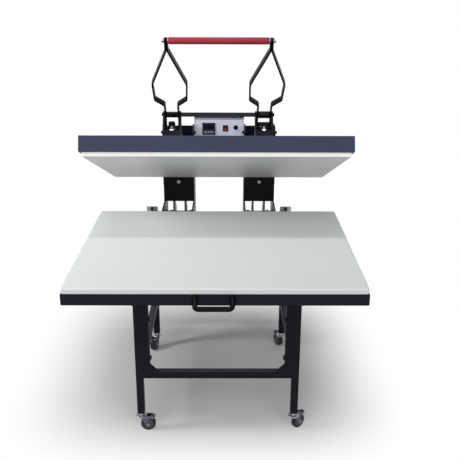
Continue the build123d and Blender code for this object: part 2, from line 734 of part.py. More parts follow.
for name, sign in SIDES.items():
    middle = sign * UNIT_X
    pieces = []
    for start in (-ARM_OUT, ARM_IN):
        with BuildPart() as plate:
            with BuildSketch(head_side(middle + start)):
                with BuildLine():
                    Polyline(*arm_outline, close=True)
                make_face()
                with Locations(HINGE):
                    Circle(HINGE_LOBE_R)
                with Locations((LEVER_PIVOT_BACK, LEVER_PIVOT_UP)):
                    Circle(PIVOT_BOSS_R)
                with Locations((TAIL_PIN_BACK, TAIL_PIN_UP)):
                    Circle(TAIL_BOSS_R)
                with Locations(HINGE):
                    Circle(AXLE_R + FIT, mode=Mode.SUBTRACT)
                with Locations((LEVER_PIVOT_BACK, LEVER_PIVOT_UP)):
                    Circle(LEVER_PIN_R + FIT, mode=Mode.SUBTRACT)
            extrude(amount=ARM_T)
        pieces.append(plate.part)
    for hand in (-1, 1):
        tail_stud = across(middle + hand * ARM_OUT, TAIL_PIN, hand)
        pieces.append(rod(tail_stud, STUD_R, SIDE_IN - RUN - ARM_OUT))
    with BuildPart() as crosshead:
        with BuildSketch(head_level(ARM_LOW, middle, 0)):
            Rectangle(2 * ARM_IN, 2 * CROSSHEAD_HALF)
            Circle(SCREW_R + SCREW_PLAY, mode=Mode.SUBTRACT)
        extrude(amount=ARM_HIGH - ARM_LOW)
    pieces.append(crosshead.part)
    elbow = head_point(ELBOW_TIE_BACK, ELBOW_TIE_UP)
    pieces.append(cross_bar(middle, elbow, ARM_IN, ELBOW_TIE_R))
    save(f"arm_{name}", *pieces)

tie_half = UNIT_X - ARM_OUT
with BuildPart() as tie_bar:
    with BuildSketch(head_side(-tie_half)):
        with Locations((LEVER_PIVOT_BACK, LEVER_PIVOT_UP)):
            Rectangle(TIE_BAR, TIE_BAR)
    extrude(amount=2 * tie_half)
save("tie_bar", tie_bar.part)

pieces = []
for sign in SIDES.values():
    outer_ear = across(sign * (UNIT_X + ARM_OUT), PIVOT_OPEN, -sign)
    pieces.append(hex_bolt(outer_ear, LEVER_PIN_R, 2 * ARM_OUT, LEVER_HEAD_R, LEVER_HEAD_T))
save("lever_pivot_bolts", *pieces)

# Head: heated plate, heating elements, insulation, sheet cover and the posts that take the screws
heat_plate = tube(head_level(PRESS_GAP), PLATEN_W, PLATEN_D, HEAT_PLATE_T)
save("heat_plate", heat_plate)

pieces = []
for sign in SIDES.values():
    for element_x in ELEMENT_XS:
        x = sign * element_x
        ends = (x - ELEMENT_SPAN / 2, x + ELEMENT_SPAN / 2)
        reach = ELEMENT_LEN / 2
        bed = head_level(HEAT_PLATE_TOP + ELEMENT_R + FIT)
        with BuildPart() as element:
            with BuildLine(bed) as hairpin:
                FilletPolyline(
                    (ends[0], -reach), (ends[0], reach), (ends[1], reach), (ends[1], -reach),
                    radius=ELEMENT_SPAN / 2 - ELEMENT_R,
                )
            with BuildSketch(Plane(hairpin.line @ 0, z_dir=hairpin.line % 0)):
                Circle(ELEMENT_R)
            sweep(path=hairpin.line)
        pieces.append(element.part)
save("heating_elements", *pieces)

blanket_low = HEAT_PLATE_TOP + 2 * ELEMENT_R + 4 * FIT
with BuildPart() as blanket:
    with BuildSketch(head_level(blanket_low)):
        Rectangle(PLATEN_W - 2 * BLANKET_MARGIN, PLATEN_D - 2 * BLANKET_MARGIN)
        with Locations((-UNIT_X, 0), (UNIT_X, 0)):
            Circle(POST_FLANGE_R + RUN, mode=Mode.SUBTRACT)
    extrude(amount=BLANKET_T)
save("insulation_blanket", blanket.part)

cover_w = PLATEN_W + 2 * COVER_LIP
cover_d = PLATEN_D + 2 * COVER_LIP
with BuildPart() as cover:
    with BuildSketch(head_level(HEAT_PLATE_TOP)):
        RectangleRounded(cover_w, cover_d, COVER_CORNER)
    extrude(amount=COVER_H)
    with BuildSketch(head_level(HEAT_PLATE_TOP + COVER_WALL)):
        Rectangle(cover_w - 2 * COVER_WALL, cover_d - 2 * COVER_WALL)
    extrude(amount=COVER_H - 2 * COVER_WALL, mode=Mode.SUBTRACT)
    with BuildSketch(head_level(HEAT_PLATE_TOP)):
        Rectangle(cover_w - 2 * COVER_RIM, cover_d - 2 * COVER_RIM)
    extrude(amount=COVER_WALL, mode=Mode.SUBTRACT)
    with BuildSketch(head_level(COVER_TOP)):
        with Locations((-UNIT_X, 0), (UNIT_X, 0)):
            Circle(POST_R + SCREW_PLAY)
    extrude(amount=-COVER_WALL, mode=Mode.SUBTRACT)
save("head_cover", cover.part)

pieces = []
for sign in SIDES.values():
    middle = sign * UNIT_X
    with BuildPart() as post:
        with BuildSketch(head_level(HEAT_PLATE_TOP, middle)):
            Circle(POST_FLANGE_R)
        extrude(amount=POST_FLANGE_T)
        with BuildSketch(head_level(HEAT_PLATE_TOP, middle)):
            Circle(POST_R)
        extrude(amount=POST_TOP - HEAT_PLATE_TOP)
        with BuildSketch(head_level(POST_TOP, middle)):
            Circle(SCREW_R + SCREW_PLAY)
        extrude(amount=-POST_BORE, mode=Mode.SUBTRACT)
    pieces.append(post.part)
save("pressure_posts", *pieces)

# Pressure screws, each with its lock nut and its wing knob
screw_low = POST_TOP - POST_BORE + SCREW_PLAY
knob_seat = KNOB_UP + KNOB_H / 2
for name, sign in SIDES.items():
    middle = sign * UNIT_X
    screw = rod(head_level(screw_low, middle), SCREW_R, knob_seat - screw_low)
    with BuildPart() as nut:
        with BuildSketch(head_level(NUT_UP, middle)):
            RegularPolygon(NUT_R, 6)
            Circle(SCREW_R, mode=Mode.SUBTRACT)
        extrude(amount=NUT_H)
    with BuildPart() as knob:
        with BuildSketch(head_level(KNOB_UP, middle)):
            SlotOverall(KNOB_L, KNOB_W, rotation=KNOB_TURNS[name])
        extrude(amount=KNOB_H)
        with BuildSketch(head_level(KNOB_UP, middle)):
            Circle(SCREW_R)
        extrude(amount=knob_seat - KNOB_UP, mode=Mode.SUBTRACT)
    save(f"pressure_screw_{name}", screw, nut.part, knob.part)


def band(points, thickness):
    """Outline of a bent flat bar: its centre line moved half a thickness to each side, mitred."""
    lines = [Vector(*b) - Vector(*a) for a, b in zip(points, points[1:])]
    normals = [Vector(-line.Y, line.X).normalized() for line in lines]
    rims = ([], [])
    for i, point in enumerate(points):
        before = normals[max(i - 1, 0)]
        after = normals[min(i, len(normals) - 1)]
        mitre = (before + after).normalized()
        reach = thickness / 2 / mitre.dot(after)
        for rim, way in zip(rims, (1, -1)):
            spot = Vector(*point) + mitre * (way * reach)
            rim.append((spot.X, spot.Y))
    return rims[0] + rims[1][::-1]


# Lever: a pear-shaped frame of two bent bars on each side, with tails that reach the toggles. As in
# the photo, both frames lean a little to the right, the left one less.
lean_c = cos(radians(LEVER_LEAN_DEG))
lean_s = sin(radians(LEVER_LEAN_DEG))
neck = CHEEK_HALF - BAR_T / 2
tail_half = SLOT_HALF + TAIL_WALL
apex_start = LEVER_LEN - APEX_RUN
grip_spot = (PIVOT_OPEN[0] - LEVER_LEN * lean_s, PIVOT_OPEN[1] + LEVER_LEN * lean_c)
for name, sign in SIDES.items():
    middle = sign * UNIT_X
    drift = LEVER_SKEW + sign * APEX_SPLAY
    face = Plane(origin=world(middle, *PIVOT_OPEN), x_dir=(1, 0, 0), z_dir=(0, -lean_c, -lean_s))
    pieces = []
    for hand in (-1, 1):
        centre_line = [(hand * neck, 0)]
        for half, along in (
            (neck, PIVOT_BOSS_R),
            (neck, NECK_END),
            (SHOULDER_HALF, SHOULDER_END),
            (WIDEST_HALF, WIDEST_AT),
            (BAR_T / 2, apex_start),
        ):
            share = (along - PIVOT_BOSS_R) / (apex_start - PIVOT_BOSS_R)
            centre_line.append((hand * half + drift * share, along))
        centre_line.append((hand * BAR_T / 2 + drift, LEVER_LEN))
        inner = middle + hand * neck - BAR_T / 2
        tail_dir = (0, cos(radians(TAIL_DEG)), sin(radians(TAIL_DEG)))
        tail = Plane(origin=world(inner, *PIVOT_OPEN), x_dir=tail_dir, z_dir=(1, 0, 0))
        with BuildPart() as lever_bar:
            with BuildSketch(face):
                with BuildLine():
                    Polyline(*band(centre_line, BAR_T), close=True)
                make_face()
            extrude(amount=BAR_W / 2, both=True)
            with BuildSketch(across(middle + drift + (hand - 1) * BAR_T / 2, grip_spot)):
                Circle(BAR_W / 2)
            extrude(amount=BAR_T)
            with BuildSketch(tail):
                Circle(PIVOT_BOSS_R)
                with BuildLine():
                    Polyline(
                        (0, TAIL_NECK), (TAIL_LEN - SLOT_RUN, tail_half), (TAIL_LEN, tail_half),
                        (TAIL_LEN, -tail_half), (TAIL_LEN - SLOT_RUN, -tail_half), (0, -TAIL_NECK),
                        close=True,
                    )
                make_face()
                with Locations((TAIL_LEN, 0)):
                    Circle(tail_half)
            extrude(amount=BAR_T)
            with BuildSketch(tail):
                Circle(LEVER_PIN_R + FIT)
                with Locations((TAIL_LEN - SLOT_RUN / 2, 0)):
                    SlotCenterToCenter(SLOT_RUN, 2 * SLOT_HALF)
            extrude(amount=BAR_T, mode=Mode.SUBTRACT)
            with BuildSketch(across(middle + drift - hand * BAR_T, grip_spot, hand)):
                Circle(GRIP_ROD_R)
            extrude(amount=2 * BAR_T, mode=Mode.SUBTRACT)
        pieces.append(lever_bar.part)
    with BuildPart() as bush:
        with BuildSketch(across(middle - neck + BAR_T / 2, PIVOT_OPEN)):
            Rectangle(BUSH_SIDE, BUSH_SIDE, rotation=BUSH_TURNS[name])
            Circle(LEVER_PIN_R + FIT, mode=Mode.SUBTRACT)
        extrude(amount=2 * neck - BAR_T)
    pieces.append(bush.part)
    save(f"lever_frame_{name}", *pieces)

grip_half = UNIT_X + APEX_SPLAY - BAR_T
rod_half = grip_half + 2 * BAR_T
rod_plane = across(LEVER_SKEW - rod_half, grip_spot)
grip_rod = hex_bolt(rod_plane, GRIP_ROD_R, 2 * rod_half, GRIP_HEAD_R, GRIP_ROD_END, GRIP_ROD_END)
save("grip_rod", grip_rod)
save("hand_grip", cross_bar(LEVER_SKEW, grip_spot, grip_half - RUN / 2, GRIP_R, GRIP_ROD_R + FIT))

# Toggle links from the fixed anchor pins to the slots in the lever's tails
pieces = []
for sign in SIDES.values():
    middle = sign * UNIT_X
    link_dir = (0, cos(radians(LINK_DEG)), sin(radians(LINK_DEG)))
    boss_half = CHEEK_IN - RUN / 2
    with BuildPart() as link:
        shank = Plane(origin=world(middle - LINK_T / 2, *ANCHOR), x_dir=link_dir, z_dir=(1, 0, 0))
        with BuildSketch(shank):
            with Locations((LINK_LEN / 2, 0)):
                Rectangle(LINK_LEN, LINK_W)
        extrude(amount=LINK_T)
        for spot, radius in ((ANCHOR, LINK_BOSS_R), (KNEE, LINK_EYE_R)):
            with BuildSketch(across(middle - boss_half, spot)):
                Circle(radius)
            extrude(amount=2 * boss_half)
        with BuildSketch(across(middle - CHEEK_HALF, KNEE)):
            Circle(PIN_R)
        extrude(amount=2 * CHEEK_HALF)
        with BuildSketch(across(middle - boss_half, ANCHOR)):
            Circle(PIVOT_R + FIT)
        extrude(amount=2 * boss_half, mode=Mode.SUBTRACT)
    pieces.append(link.part)
save("toggle_links", *pieces)

# Drawer: tube frame with runner beams, tray plate, silicone pad, pull handle and rail carriages
drawer_front = -PLATEN_D / 2 - DRAWER_OUT
drawer_mid = -DRAWER_OUT
frame_up = FRAME_TOP - FRAME_TUBE / 2
inner_w = PLATEN_W - 2 * FRAME_TUBE
inner_d = PLATEN_D - 2 * FRAME_TUBE
pieces = []
for end in (-1, 1):
    band_back = drawer_mid + end * (PLATEN_D - FRAME_TUBE) / 2
    across_plane = across(-PLATEN_W / 2, (band_back, frame_up))
    pieces.append(tube(across_plane, FRAME_TUBE, FRAME_TUBE, PLATEN_W, FRAME_WALL))
    side_x = end * (PLATEN_W - FRAME_TUBE) / 2
    side_plane = facing(drawer_front + FRAME_TUBE, side_x, frame_up)
    pieces.append(tube(side_plane, FRAME_TUBE, FRAME_TUBE, inner_d, FRAME_WALL))
    runner = facing(drawer_mid + RUNNER_START, end * RAIL_X, FRAME_LOW - RUNNER_H / 2)
    pieces.append(tube(runner, RUNNER_H, RUNNER_H, PLATEN_D / 2 - RUNNER_START, FRAME_WALL))
bar_h = FRAME_TUBE - TRAY_T
for bar_back in TRAY_BAR_BACKS:
    bar_plane = across(-inner_w / 2, (drawer_mid + bar_back, FRAME_LOW + bar_h / 2))
    pieces.append(tube(bar_plane, FRAME_TUBE, bar_h, inner_w, FRAME_WALL))
save("drawer_frame", *pieces)
save("drawer_tray", tube(level(FRAME_TOP - TRAY_T, 0, drawer_mid), inner_w, inner_d, TRAY_T))
save("silicone_pad", tube(level(FRAME_TOP, 0, drawer_mid), PLATEN_W, PLATEN_D, PAD_T))

carriage_low = BASE_TOP + CARRIAGE_LIFT
groove_top = BASE_TOP + RAIL_H + RAIL_PLAY
pieces = []
for sign in SIDES.values():
    for back in CARRIAGE_BACKS:
        front = facing(drawer_mid + back - CARRIAGE_L / 2, sign * RAIL_X, RUNNER_LOW)
        with BuildPart() as carriage:
            with BuildSketch(front):
                with Locations((0, (RUNNER_LOW - carriage_low) / 2)):
                    Rectangle(CARRIAGE_W, RUNNER_LOW - carriage_low)
                with Locations((0, RUNNER_LOW - (groove_top + carriage_low) / 2)):
                    Rectangle(RAIL_W + 2 * RAIL_PLAY, groove_top - carriage_low, mode=Mode.SUBTRACT)
            extrude(amount=CARRIAGE_L)
        pieces.append(carriage.part)
save("rail_carriages", *pieces)

droop_c = cos(radians(HANDLE_DROOP_DEG))
droop_s = sin(radians(HANDLE_DROOP_DEG))
handle_out = (HANDLE_REACH - HANDLE_R) / droop_c
handle_start = HANDLE_R * droop_s / droop_c + FIT
handle_origin = world(HANDLE_X, drawer_front, HANDLE_UP)
handle_plane = Plane(origin=handle_origin, x_dir=(1, 0, 0), z_dir=(0, -droop_s, droop_c))
with BuildPart() as handle:
    with BuildLine(handle_plane) as bow:
        FilletPolyline(
            (-HANDLE_W / 2, -handle_start),
            (-HANDLE_W / 2, -handle_out),
            (HANDLE_W / 2, -handle_out),
            (HANDLE_W / 2, -handle_start),
            radius=HANDLE_BEND_R,
        )
    with BuildSketch(Plane(bow.line @ 0, z_dir=bow.line % 0)):
        Circle(HANDLE_R)
    sweep(path=bow.line)
    with BuildSketch(facing(drawer_front - HANDLE_FOOT_T, HANDLE_X, HANDLE_UP)):
        with Locations((-HANDLE_W / 2, 0), (HANDLE_W / 2, 0)):
            Circle(HANDLE_FOOT_R)
    extrude(amount=HANDLE_FOOT_T)
save("drawer_handle", handle.part)

# Casters: threaded stems in the legs, swivelling forks, wheels and brake pedals
stems = []
for name, turn in CASTER_TURNS.items():
    x = LEG_X if "right" in name else -LEG_X
    back = REAR_LEG_BACK if "rear" in name else FRONT_LEG_BACK
    turn_c = cos(radians(turn))
    turn_s = sin(radians(turn))

    def flat(z):
        """Level plane of this caster at a height above the floor, x along the trail."""
        spot = world(x, back, z - PAD_TOP_Z)
        return Plane(origin=spot, x_dir=(turn_c, turn_s, 0), z_dir=(0, 0, 1))

    def upright(y):
        """Upright plane along the trail, y to the left of it; local x is the trail, local y is height."""
        spot = world(x - y * turn_s, back + y * turn_c, -PAD_TOP_Z)
        return Plane(origin=spot, x_dir=(turn_c, turn_s, 0), z_dir=(turn_s, -turn_c, 0))

    with BuildPart() as stem:
        for low, high, radius in (
            (CROWN_Z - STEM_HEAD_T, CROWN_Z - RAIL_PLAY, STEM_HEAD_R),
            (CROWN_Z - RAIL_PLAY, CROWN_Z + CROWN_T + RAIL_PLAY, STEM_R),
            (CROWN_Z + CROWN_T + RAIL_PLAY, LEG_BOTTOM_Z, STEM_COLLAR_R),
            (LEG_BOTTOM_Z, LEG_BOTTOM_Z + LEG_TUBE - 2 * LEG_WALL, STEM_R),
        ):
            with BuildSketch(flat(low)):
                Circle(radius)
            extrude(amount=high - low)
    stems.append(stem.part)

    cheek_y = WHEEL_W / 2 + FORK_GAP
    with BuildPart() as fork:
        with BuildSketch(flat(CROWN_Z)):
            Circle(CROWN_R)
            with Locations((PEDAL_X / 2, 0)):
                Rectangle(PEDAL_X, 2 * (cheek_y + FORK_T))
            with Locations((PEDAL_X, 0)):
                Rectangle(2 * CROWN_R, 2 * cheek_y - 2 * RUN, mode=Mode.SUBTRACT)
            Circle(STEM_R + FIT, mode=Mode.SUBTRACT)
        extrude(amount=CROWN_T)
        for y in (cheek_y + FORK_T, -cheek_y):
            with BuildSketch(upright(y)):
                with BuildLine():
                    Polyline(
                        (-FORK_BACK, CROWN_Z - FORK_T),
                        (CASTER_TRAIL - FORK_NECK, WHEEL_R),
                        (CASTER_TRAIL + FORK_NECK, WHEEL_R),
                        (CASTER_TRAIL + FORK_NECK + RUN, CROWN_Z - FORK_ARCH),
                        (PEDAL_X + PEDAL_BOSS_R, PEDAL_Z - CROWN_T),
                        (PEDAL_X, CROWN_Z + CROWN_T),
                        (-FORK_BACK, CROWN_Z + CROWN_T),
                        close=True,
                    )
                make_face()
                with Locations((CASTER_TRAIL, WHEEL_R)):
                    Circle(AXLE_BOSS_R)
                with Locations((PEDAL_X, PEDAL_Z)):
                    Circle(PEDAL_BOSS_R)
                with Locations((CASTER_TRAIL, WHEEL_R)):
                    Circle(AXLE_BOLT_R, mode=Mode.SUBTRACT)
                with Locations((PEDAL_X, PEDAL_Z)):
                    Circle(PEDAL_PIN_R, mode=Mode.SUBTRACT)
            extrude(amount=FORK_T)
    fork_half = cheek_y + FORK_T
    axle_start = upright(fork_half)
    axle_at = Plane(axle_start.from_local_coords(Vector(CASTER_TRAIL, WHEEL_R, 0)), z_dir=axle_start.z_dir)
    pedal_at = Plane(axle_start.from_local_coords(Vector(PEDAL_X, PEDAL_Z, 0)), z_dir=axle_start.z_dir)
    axle = hex_bolt(axle_at, AXLE_BOLT_R, 2 * fork_half, AXLE_BOSS_R - RUN, AXLE_BOLT_R, AXLE_BOLT_R)
    pin = rod(pedal_at, PEDAL_PIN_R, 2 * fork_half)
    save(f"caster_fork_{name}", fork.part, axle, pin)

    with BuildPart() as hub:
        with BuildSketch(upright(WHEEL_W / 2 + FORK_GAP - RAIL_PLAY)):
            with Locations((CASTER_TRAIL, WHEEL_R)):
                Circle(AXLE_BOSS_R)
                Circle(AXLE_BOLT_R + FIT, mode=Mode.SUBTRACT)
        extrude(amount=WHEEL_W + 2 * FORK_GAP - 2 * RAIL_PLAY)
        with BuildSketch(upright(WHEEL_W / 2 - HUB_INSET)):
            with Locations((CASTER_TRAIL, WHEEL_R)):
                Circle(HUB_R)
                Circle(AXLE_BOLT_R + FIT, mode=Mode.SUBTRACT)
        extrude(amount=WHEEL_W - 2 * HUB_INSET)
    with BuildPart() as tyre:
        with BuildSketch(upright(WHEEL_W / 2)):
            with Locations((CASTER_TRAIL, WHEEL_R)):
                Circle(WHEEL_R)
        extrude(amount=WHEEL_W)
        chamfer(tyre.edges().filter_by(GeomType.CIRCLE), TYRE_CHAMFER)
        with BuildSketch(upright(WHEEL_W / 2)):
            with Locations((CASTER_TRAIL, WHEEL_R)):
                Circle(HUB_R)
        extrude(amount=WHEEL_W, mode=Mode.SUBTRACT)
    save(f"caster_wheel_{name}", hub.part, tyre.part)

    with BuildPart() as pedal:
        pedal_half = cheek_y - 2 * RUN
        with BuildSketch(upright(pedal_half)):
            with BuildLine():
                Polyline(
                    (PEDAL_X, PEDAL_Z),
                    (PEDAL_X + PEDAL_REACH, PEDAL_Z + PEDAL_RISE),
                    (PEDAL_X + PEDAL_REACH, PEDAL_Z + PEDAL_RISE + PEDAL_T),
                    (PEDAL_X, PEDAL_Z + PEDAL_BOSS_R - RUN),
                    close=True,
                )
            make_face()
            with Locations((PEDAL_X, PEDAL_Z)):
                Circle(PEDAL_BOSS_R - RUN)
                Circle(PEDAL_PIN_R + FIT, mode=Mode.SUBTRACT)
        extrude(amount=2 * pedal_half)
    save(f"caster_brake_{name}", pedal.part)
    wheel_spot = axle_at.origin + axle_at.z_dir * fork_half
    pedal_spot = pedal_at.origin + pedal_at.z_dir * fork_half
    print(name, "stem", [round(v / 1000, 5) for v in world(x, back, 0)[:2]])
    print(name, "wheel", [round(v / 1000, 5) for v in wheel_spot], "axis", axle_at.z_dir)
    print(name, "pedal", [round(v / 1000, 5) for v in pedal_spot])
save("caster_stems", *stems)

# Control box between the tops of the uprights, its sloped-top panel and what the panel carries
box_rear = BOX_FRONT + BOX_DEPTH
box_outline = (
    (BOX_FRONT, BOX_LOW),
    (box_rear, BOX_LOW),
    (box_rear, BOX_HIGH),
    (BOX_FRONT + PANEL_BEVEL, BOX_HIGH),
    (BOX_FRONT, BOX_HIGH - PANEL_BEVEL),
)
room_front = BOX_FRONT - BOX_WALL
room_outline = (
    (room_front, BOX_LOW + BOX_WALL),
    (box_rear - BOX_WALL, BOX_LOW + BOX_WALL),
    (box_rear - BOX_WALL, BOX_HIGH - BOX_WALL),
    (BOX_FRONT + PANEL_BEVEL - 2 * BOX_WALL, BOX_HIGH - BOX_WALL),
    (room_front, BOX_HIGH - PANEL_BEVEL - BOX_WALL),
)
gland_back = box_rear - GLAND_R - GLAND_NUT_T
gland = Plane(origin=world(GLAND_X, gland_back, BOX_LOW), x_dir=(1, 0, 0), z_dir=(0, 0, -1))
with BuildPart() as box:
    with BuildSketch(side(-BOX_W / 2)):
        with BuildLine():
            Polyline(*box_outline, close=True)
        make_face()
    extrude(amount=BOX_W)
    with BuildSketch(side(BOX_WALL - BOX_W / 2)):
        with BuildLine():
            Polyline(*room_outline, close=True)
        make_face()
    extrude(amount=BOX_W - 2 * BOX_WALL, mode=Mode.SUBTRACT)
    with BuildSketch(gland):
        Circle(STEM_R)
    extrude(amount=-BOX_WALL, mode=Mode.SUBTRACT)
save("control_box", box.part)

panel_face = BOX_FRONT - PANEL_T
slope_shift = PANEL_T * (2**0.5 - 1)
panel_outline = (
    (panel_face, BOX_LOW),
    (panel_face, BOX_HIGH - PANEL_BEVEL + slope_shift),
    (BOX_FRONT + PANEL_BEVEL - slope_shift - PANEL_T, BOX_HIGH),
    (BOX_FRONT + PANEL_BEVEL, BOX_HIGH),
    (BOX_FRONT, BOX_HIGH - PANEL_BEVEL),
    (BOX_FRONT, BOX_LOW),
)
case_w = CONTROLLER_W - 2 * BEZEL_LIP
case_h = CONTROLLER_H - 2 * BEZEL_LIP
sleeve_w = ROCKER_W - 2 * ROCKER_LIP
sleeve_h = ROCKER_H - 2 * ROCKER_LIP
with BuildPart() as panel:
    with BuildSketch(side(-BOX_W / 2)):
        with BuildLine():
            Polyline(*panel_outline, close=True)
        make_face()
    extrude(amount=BOX_W)
    with BuildSketch(facing(panel_face)):
        with Locations((CONTROLLER_X, -CONTROLLER_UP)):
            Rectangle(case_w + 2 * CONTROL_PLAY, case_h + 2 * CONTROL_PLAY)
        with Locations((ROCKER_X, -ROCKER_UP)):
            Rectangle(sleeve_w + 2 * CONTROL_PLAY, sleeve_h + 2 * CONTROL_PLAY)
        with Locations((BUTTON_X, -BUTTON_UP)):
            Circle(BUTTON_R + ROCKER_RIM + CONTROL_PLAY)
    extrude(amount=PANEL_T, mode=Mode.SUBTRACT)
save("control_panel", panel.part)

key_spots = [(way * KEY_PITCH, KEY_DROP) for way in (-1, 0, 1)]
key_room = KEY_DEEP + KEY_OUT
with BuildPart() as case:
    with BuildSketch(facing(panel_face - BEZEL_T, CONTROLLER_X, CONTROLLER_UP)):
        RectangleRounded(CONTROLLER_W, CONTROLLER_H, BEZEL_LIP)
    extrude(amount=BEZEL_T)
    with BuildSketch(facing(panel_face, CONTROLLER_X, CONTROLLER_UP)):
        Rectangle(case_w, case_h)
    extrude(amount=CONTROLLER_D)
    with BuildSketch(facing(panel_face - BEZEL_T, CONTROLLER_X, CONTROLLER_UP)):
        with Locations((0, -DISPLAY_RAISE)):
            Rectangle(DISPLAY_W, DISPLAY_H)
    extrude(amount=DISPLAY_T, mode=Mode.SUBTRACT)
    with BuildSketch(facing(panel_face - BEZEL_T, CONTROLLER_X, CONTROLLER_UP)):
        with Locations(*key_spots):
            Rectangle(KEY_W, KEY_H)
    extrude(amount=key_room, mode=Mode.SUBTRACT)
save("controller_case", case.part)
display_at = facing(panel_face - BEZEL_T, CONTROLLER_X, CONTROLLER_UP + DISPLAY_RAISE)
save("controller_display", tube(display_at, DISPLAY_W, DISPLAY_H, DISPLAY_T))
for name, spot in zip(("set", "down", "up"), key_spots):
    cap = facing(panel_face - BEZEL_T - KEY_OUT, CONTROLLER_X + spot[0], CONTROLLER_UP - spot[1])
    cap_w = KEY_W - 2 * CONTROL_PLAY
    save(f"key_{name}", tube(cap, cap_w, KEY_H - 2 * CONTROL_PLAY, KEY_OUT + KEY_DEEP))

# Rocker and round button, in black frames
hollow_w = sleeve_w - 2 * ROCKER_RIM
hollow_h = sleeve_h - 2 * ROCKER_RIM
rocker_axis = (panel_face + ROCKER_FACE, ROCKER_UP)
with BuildPart() as frame:
    with BuildSketch(facing(panel_face - ROCKER_LIP, ROCKER_X, ROCKER_UP)):
        RectangleRounded(ROCKER_W, ROCKER_H, ROCKER_LIP)
    extrude(amount=ROCKER_LIP)
    with BuildSketch(facing(panel_face, ROCKER_X, ROCKER_UP)):
        Rectangle(sleeve_w, sleeve_h)
    extrude(amount=ROCKER_DEEP)
    with BuildSketch(facing(panel_face - ROCKER_LIP, ROCKER_X, ROCKER_UP)):
        Rectangle(hollow_w, hollow_h)
    extrude(amount=ROCKER_LIP + ROCKER_DEEP - ROCKER_RIM, mode=Mode.SUBTRACT)
    with BuildSketch(across(ROCKER_X - sleeve_w / 2, rocker_axis)):
        Circle(TRUNNION_R + FIT)
    extrude(amount=sleeve_w, mode=Mode.SUBTRACT)
with BuildPart() as collar:
    with BuildSketch(facing(panel_face - ROCKER_LIP, BUTTON_X, BUTTON_UP)):
        Circle(BUTTON_R + BUTTON_RIM)
    extrude(amount=ROCKER_LIP)
    with BuildSketch(facing(panel_face, BUTTON_X, BUTTON_UP)):
        Circle(BUTTON_R + ROCKER_RIM)
    extrude(amount=COLLAR_DEEP)
    with BuildSketch(facing(panel_face - ROCKER_LIP, BUTTON_X, BUTTON_UP)):
        Circle(BUTTON_R)
    extrude(amount=ROCKER_LIP + COLLAR_DEEP - ROCKER_RIM, mode=Mode.SUBTRACT)
save("switch_frames", frame.part, collar.part)

rocker_front = ROCKER_FACE + ROCKER_LIP + RUN
rocker_half = hollow_h / 2 - RUN
tilt_c = cos(radians(ROCKER_TILT_DEG))
tilt_s = sin(radians(ROCKER_TILT_DEG))
tilted = Plane(origin=world(ROCKER_X, *rocker_axis), x_dir=(0, tilt_c, -tilt_s), z_dir=(1, 0, 0))
with BuildPart() as rocker:
    with BuildSketch(tilted.offset(-hollow_w / 2 + CONTROL_PLAY)):
        with BuildLine():
            Polyline(
                (-rocker_front, rocker_half - RUN),
                (-rocker_front + 2 * RUN, 0),
                (-rocker_front, RUN - rocker_half),
                (RUN, -rocker_half / 2),
                (RUN, rocker_half / 2),
                close=True,
            )
        make_face()
        Circle(TRUNNION_R + RUN)
    extrude(amount=hollow_w - 2 * CONTROL_PLAY)
    with BuildSketch(across(ROCKER_X - sleeve_w / 2, rocker_axis)):
        Circle(TRUNNION_R)
    extrude(amount=sleeve_w)
save("rocker_switch", rocker.part)
button_face = panel_face - ROCKER_LIP - BUTTON_OUT
save("push_button", rod(facing(button_face, BUTTON_X, BUTTON_UP), BUTTON_R - CONTROL_PLAY, COLLAR_DEEP))

with BuildPart() as power_gland:
    with BuildSketch(gland):
        RegularPolygon(GLAND_R, 6)
    extrude(amount=GLAND_NUT_T)
    with BuildSketch(gland):
        Circle(GLAND_R - BUTTON_RIM)
    extrude(amount=GLAND_T)
    with BuildSketch(gland):
        Circle(STEM_R)
    extrude(amount=-BOX_WALL - GLAND_NUT_T)
    with BuildSketch(gland.offset(GLAND_T)):
        Circle(CORD_R)
    extrude(amount=-GLAND_T - BOX_WALL - GLAND_NUT_T, mode=Mode.SUBTRACT)
save("power_gland", power_gland.part)

for place, spot in (("rocker axis", rocker_axis), ("grip", grip_spot)):
    print(place, "Y, Z in m", [round(v / 1000, 5) for v in world(0, *spot)[1:]])
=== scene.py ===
"""Large clamshell heat press on a castered stand: its looks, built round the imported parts.

All lengths are metres in the parts' own frame: X to the operator's right, Y to the back, Z up from
the floor. The head stands tipped open, the lever up and the drawer pulled out, as photographed.
"""

import json
from math import cos, pi, radians, sin

import bmesh
import bpy
import numpy as np
from mathutils import Matrix, Vector


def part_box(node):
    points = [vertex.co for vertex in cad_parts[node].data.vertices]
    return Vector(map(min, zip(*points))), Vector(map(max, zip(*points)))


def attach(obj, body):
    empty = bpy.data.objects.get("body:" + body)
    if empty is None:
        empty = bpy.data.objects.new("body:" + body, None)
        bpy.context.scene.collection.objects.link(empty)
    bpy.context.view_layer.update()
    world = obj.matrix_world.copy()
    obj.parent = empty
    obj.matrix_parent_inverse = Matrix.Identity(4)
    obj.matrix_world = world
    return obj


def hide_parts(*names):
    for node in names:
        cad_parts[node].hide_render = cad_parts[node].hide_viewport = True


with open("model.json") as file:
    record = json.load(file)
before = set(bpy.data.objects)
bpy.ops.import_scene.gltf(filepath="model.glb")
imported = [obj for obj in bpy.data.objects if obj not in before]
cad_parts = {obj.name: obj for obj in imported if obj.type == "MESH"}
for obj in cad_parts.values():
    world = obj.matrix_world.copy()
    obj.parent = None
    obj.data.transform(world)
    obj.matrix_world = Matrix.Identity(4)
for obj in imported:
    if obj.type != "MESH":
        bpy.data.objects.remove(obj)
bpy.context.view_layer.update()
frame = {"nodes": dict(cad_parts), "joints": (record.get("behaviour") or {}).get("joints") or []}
nodes = frame["nodes"]
joints = {joint["name"]: joint for joint in frame["joints"]}


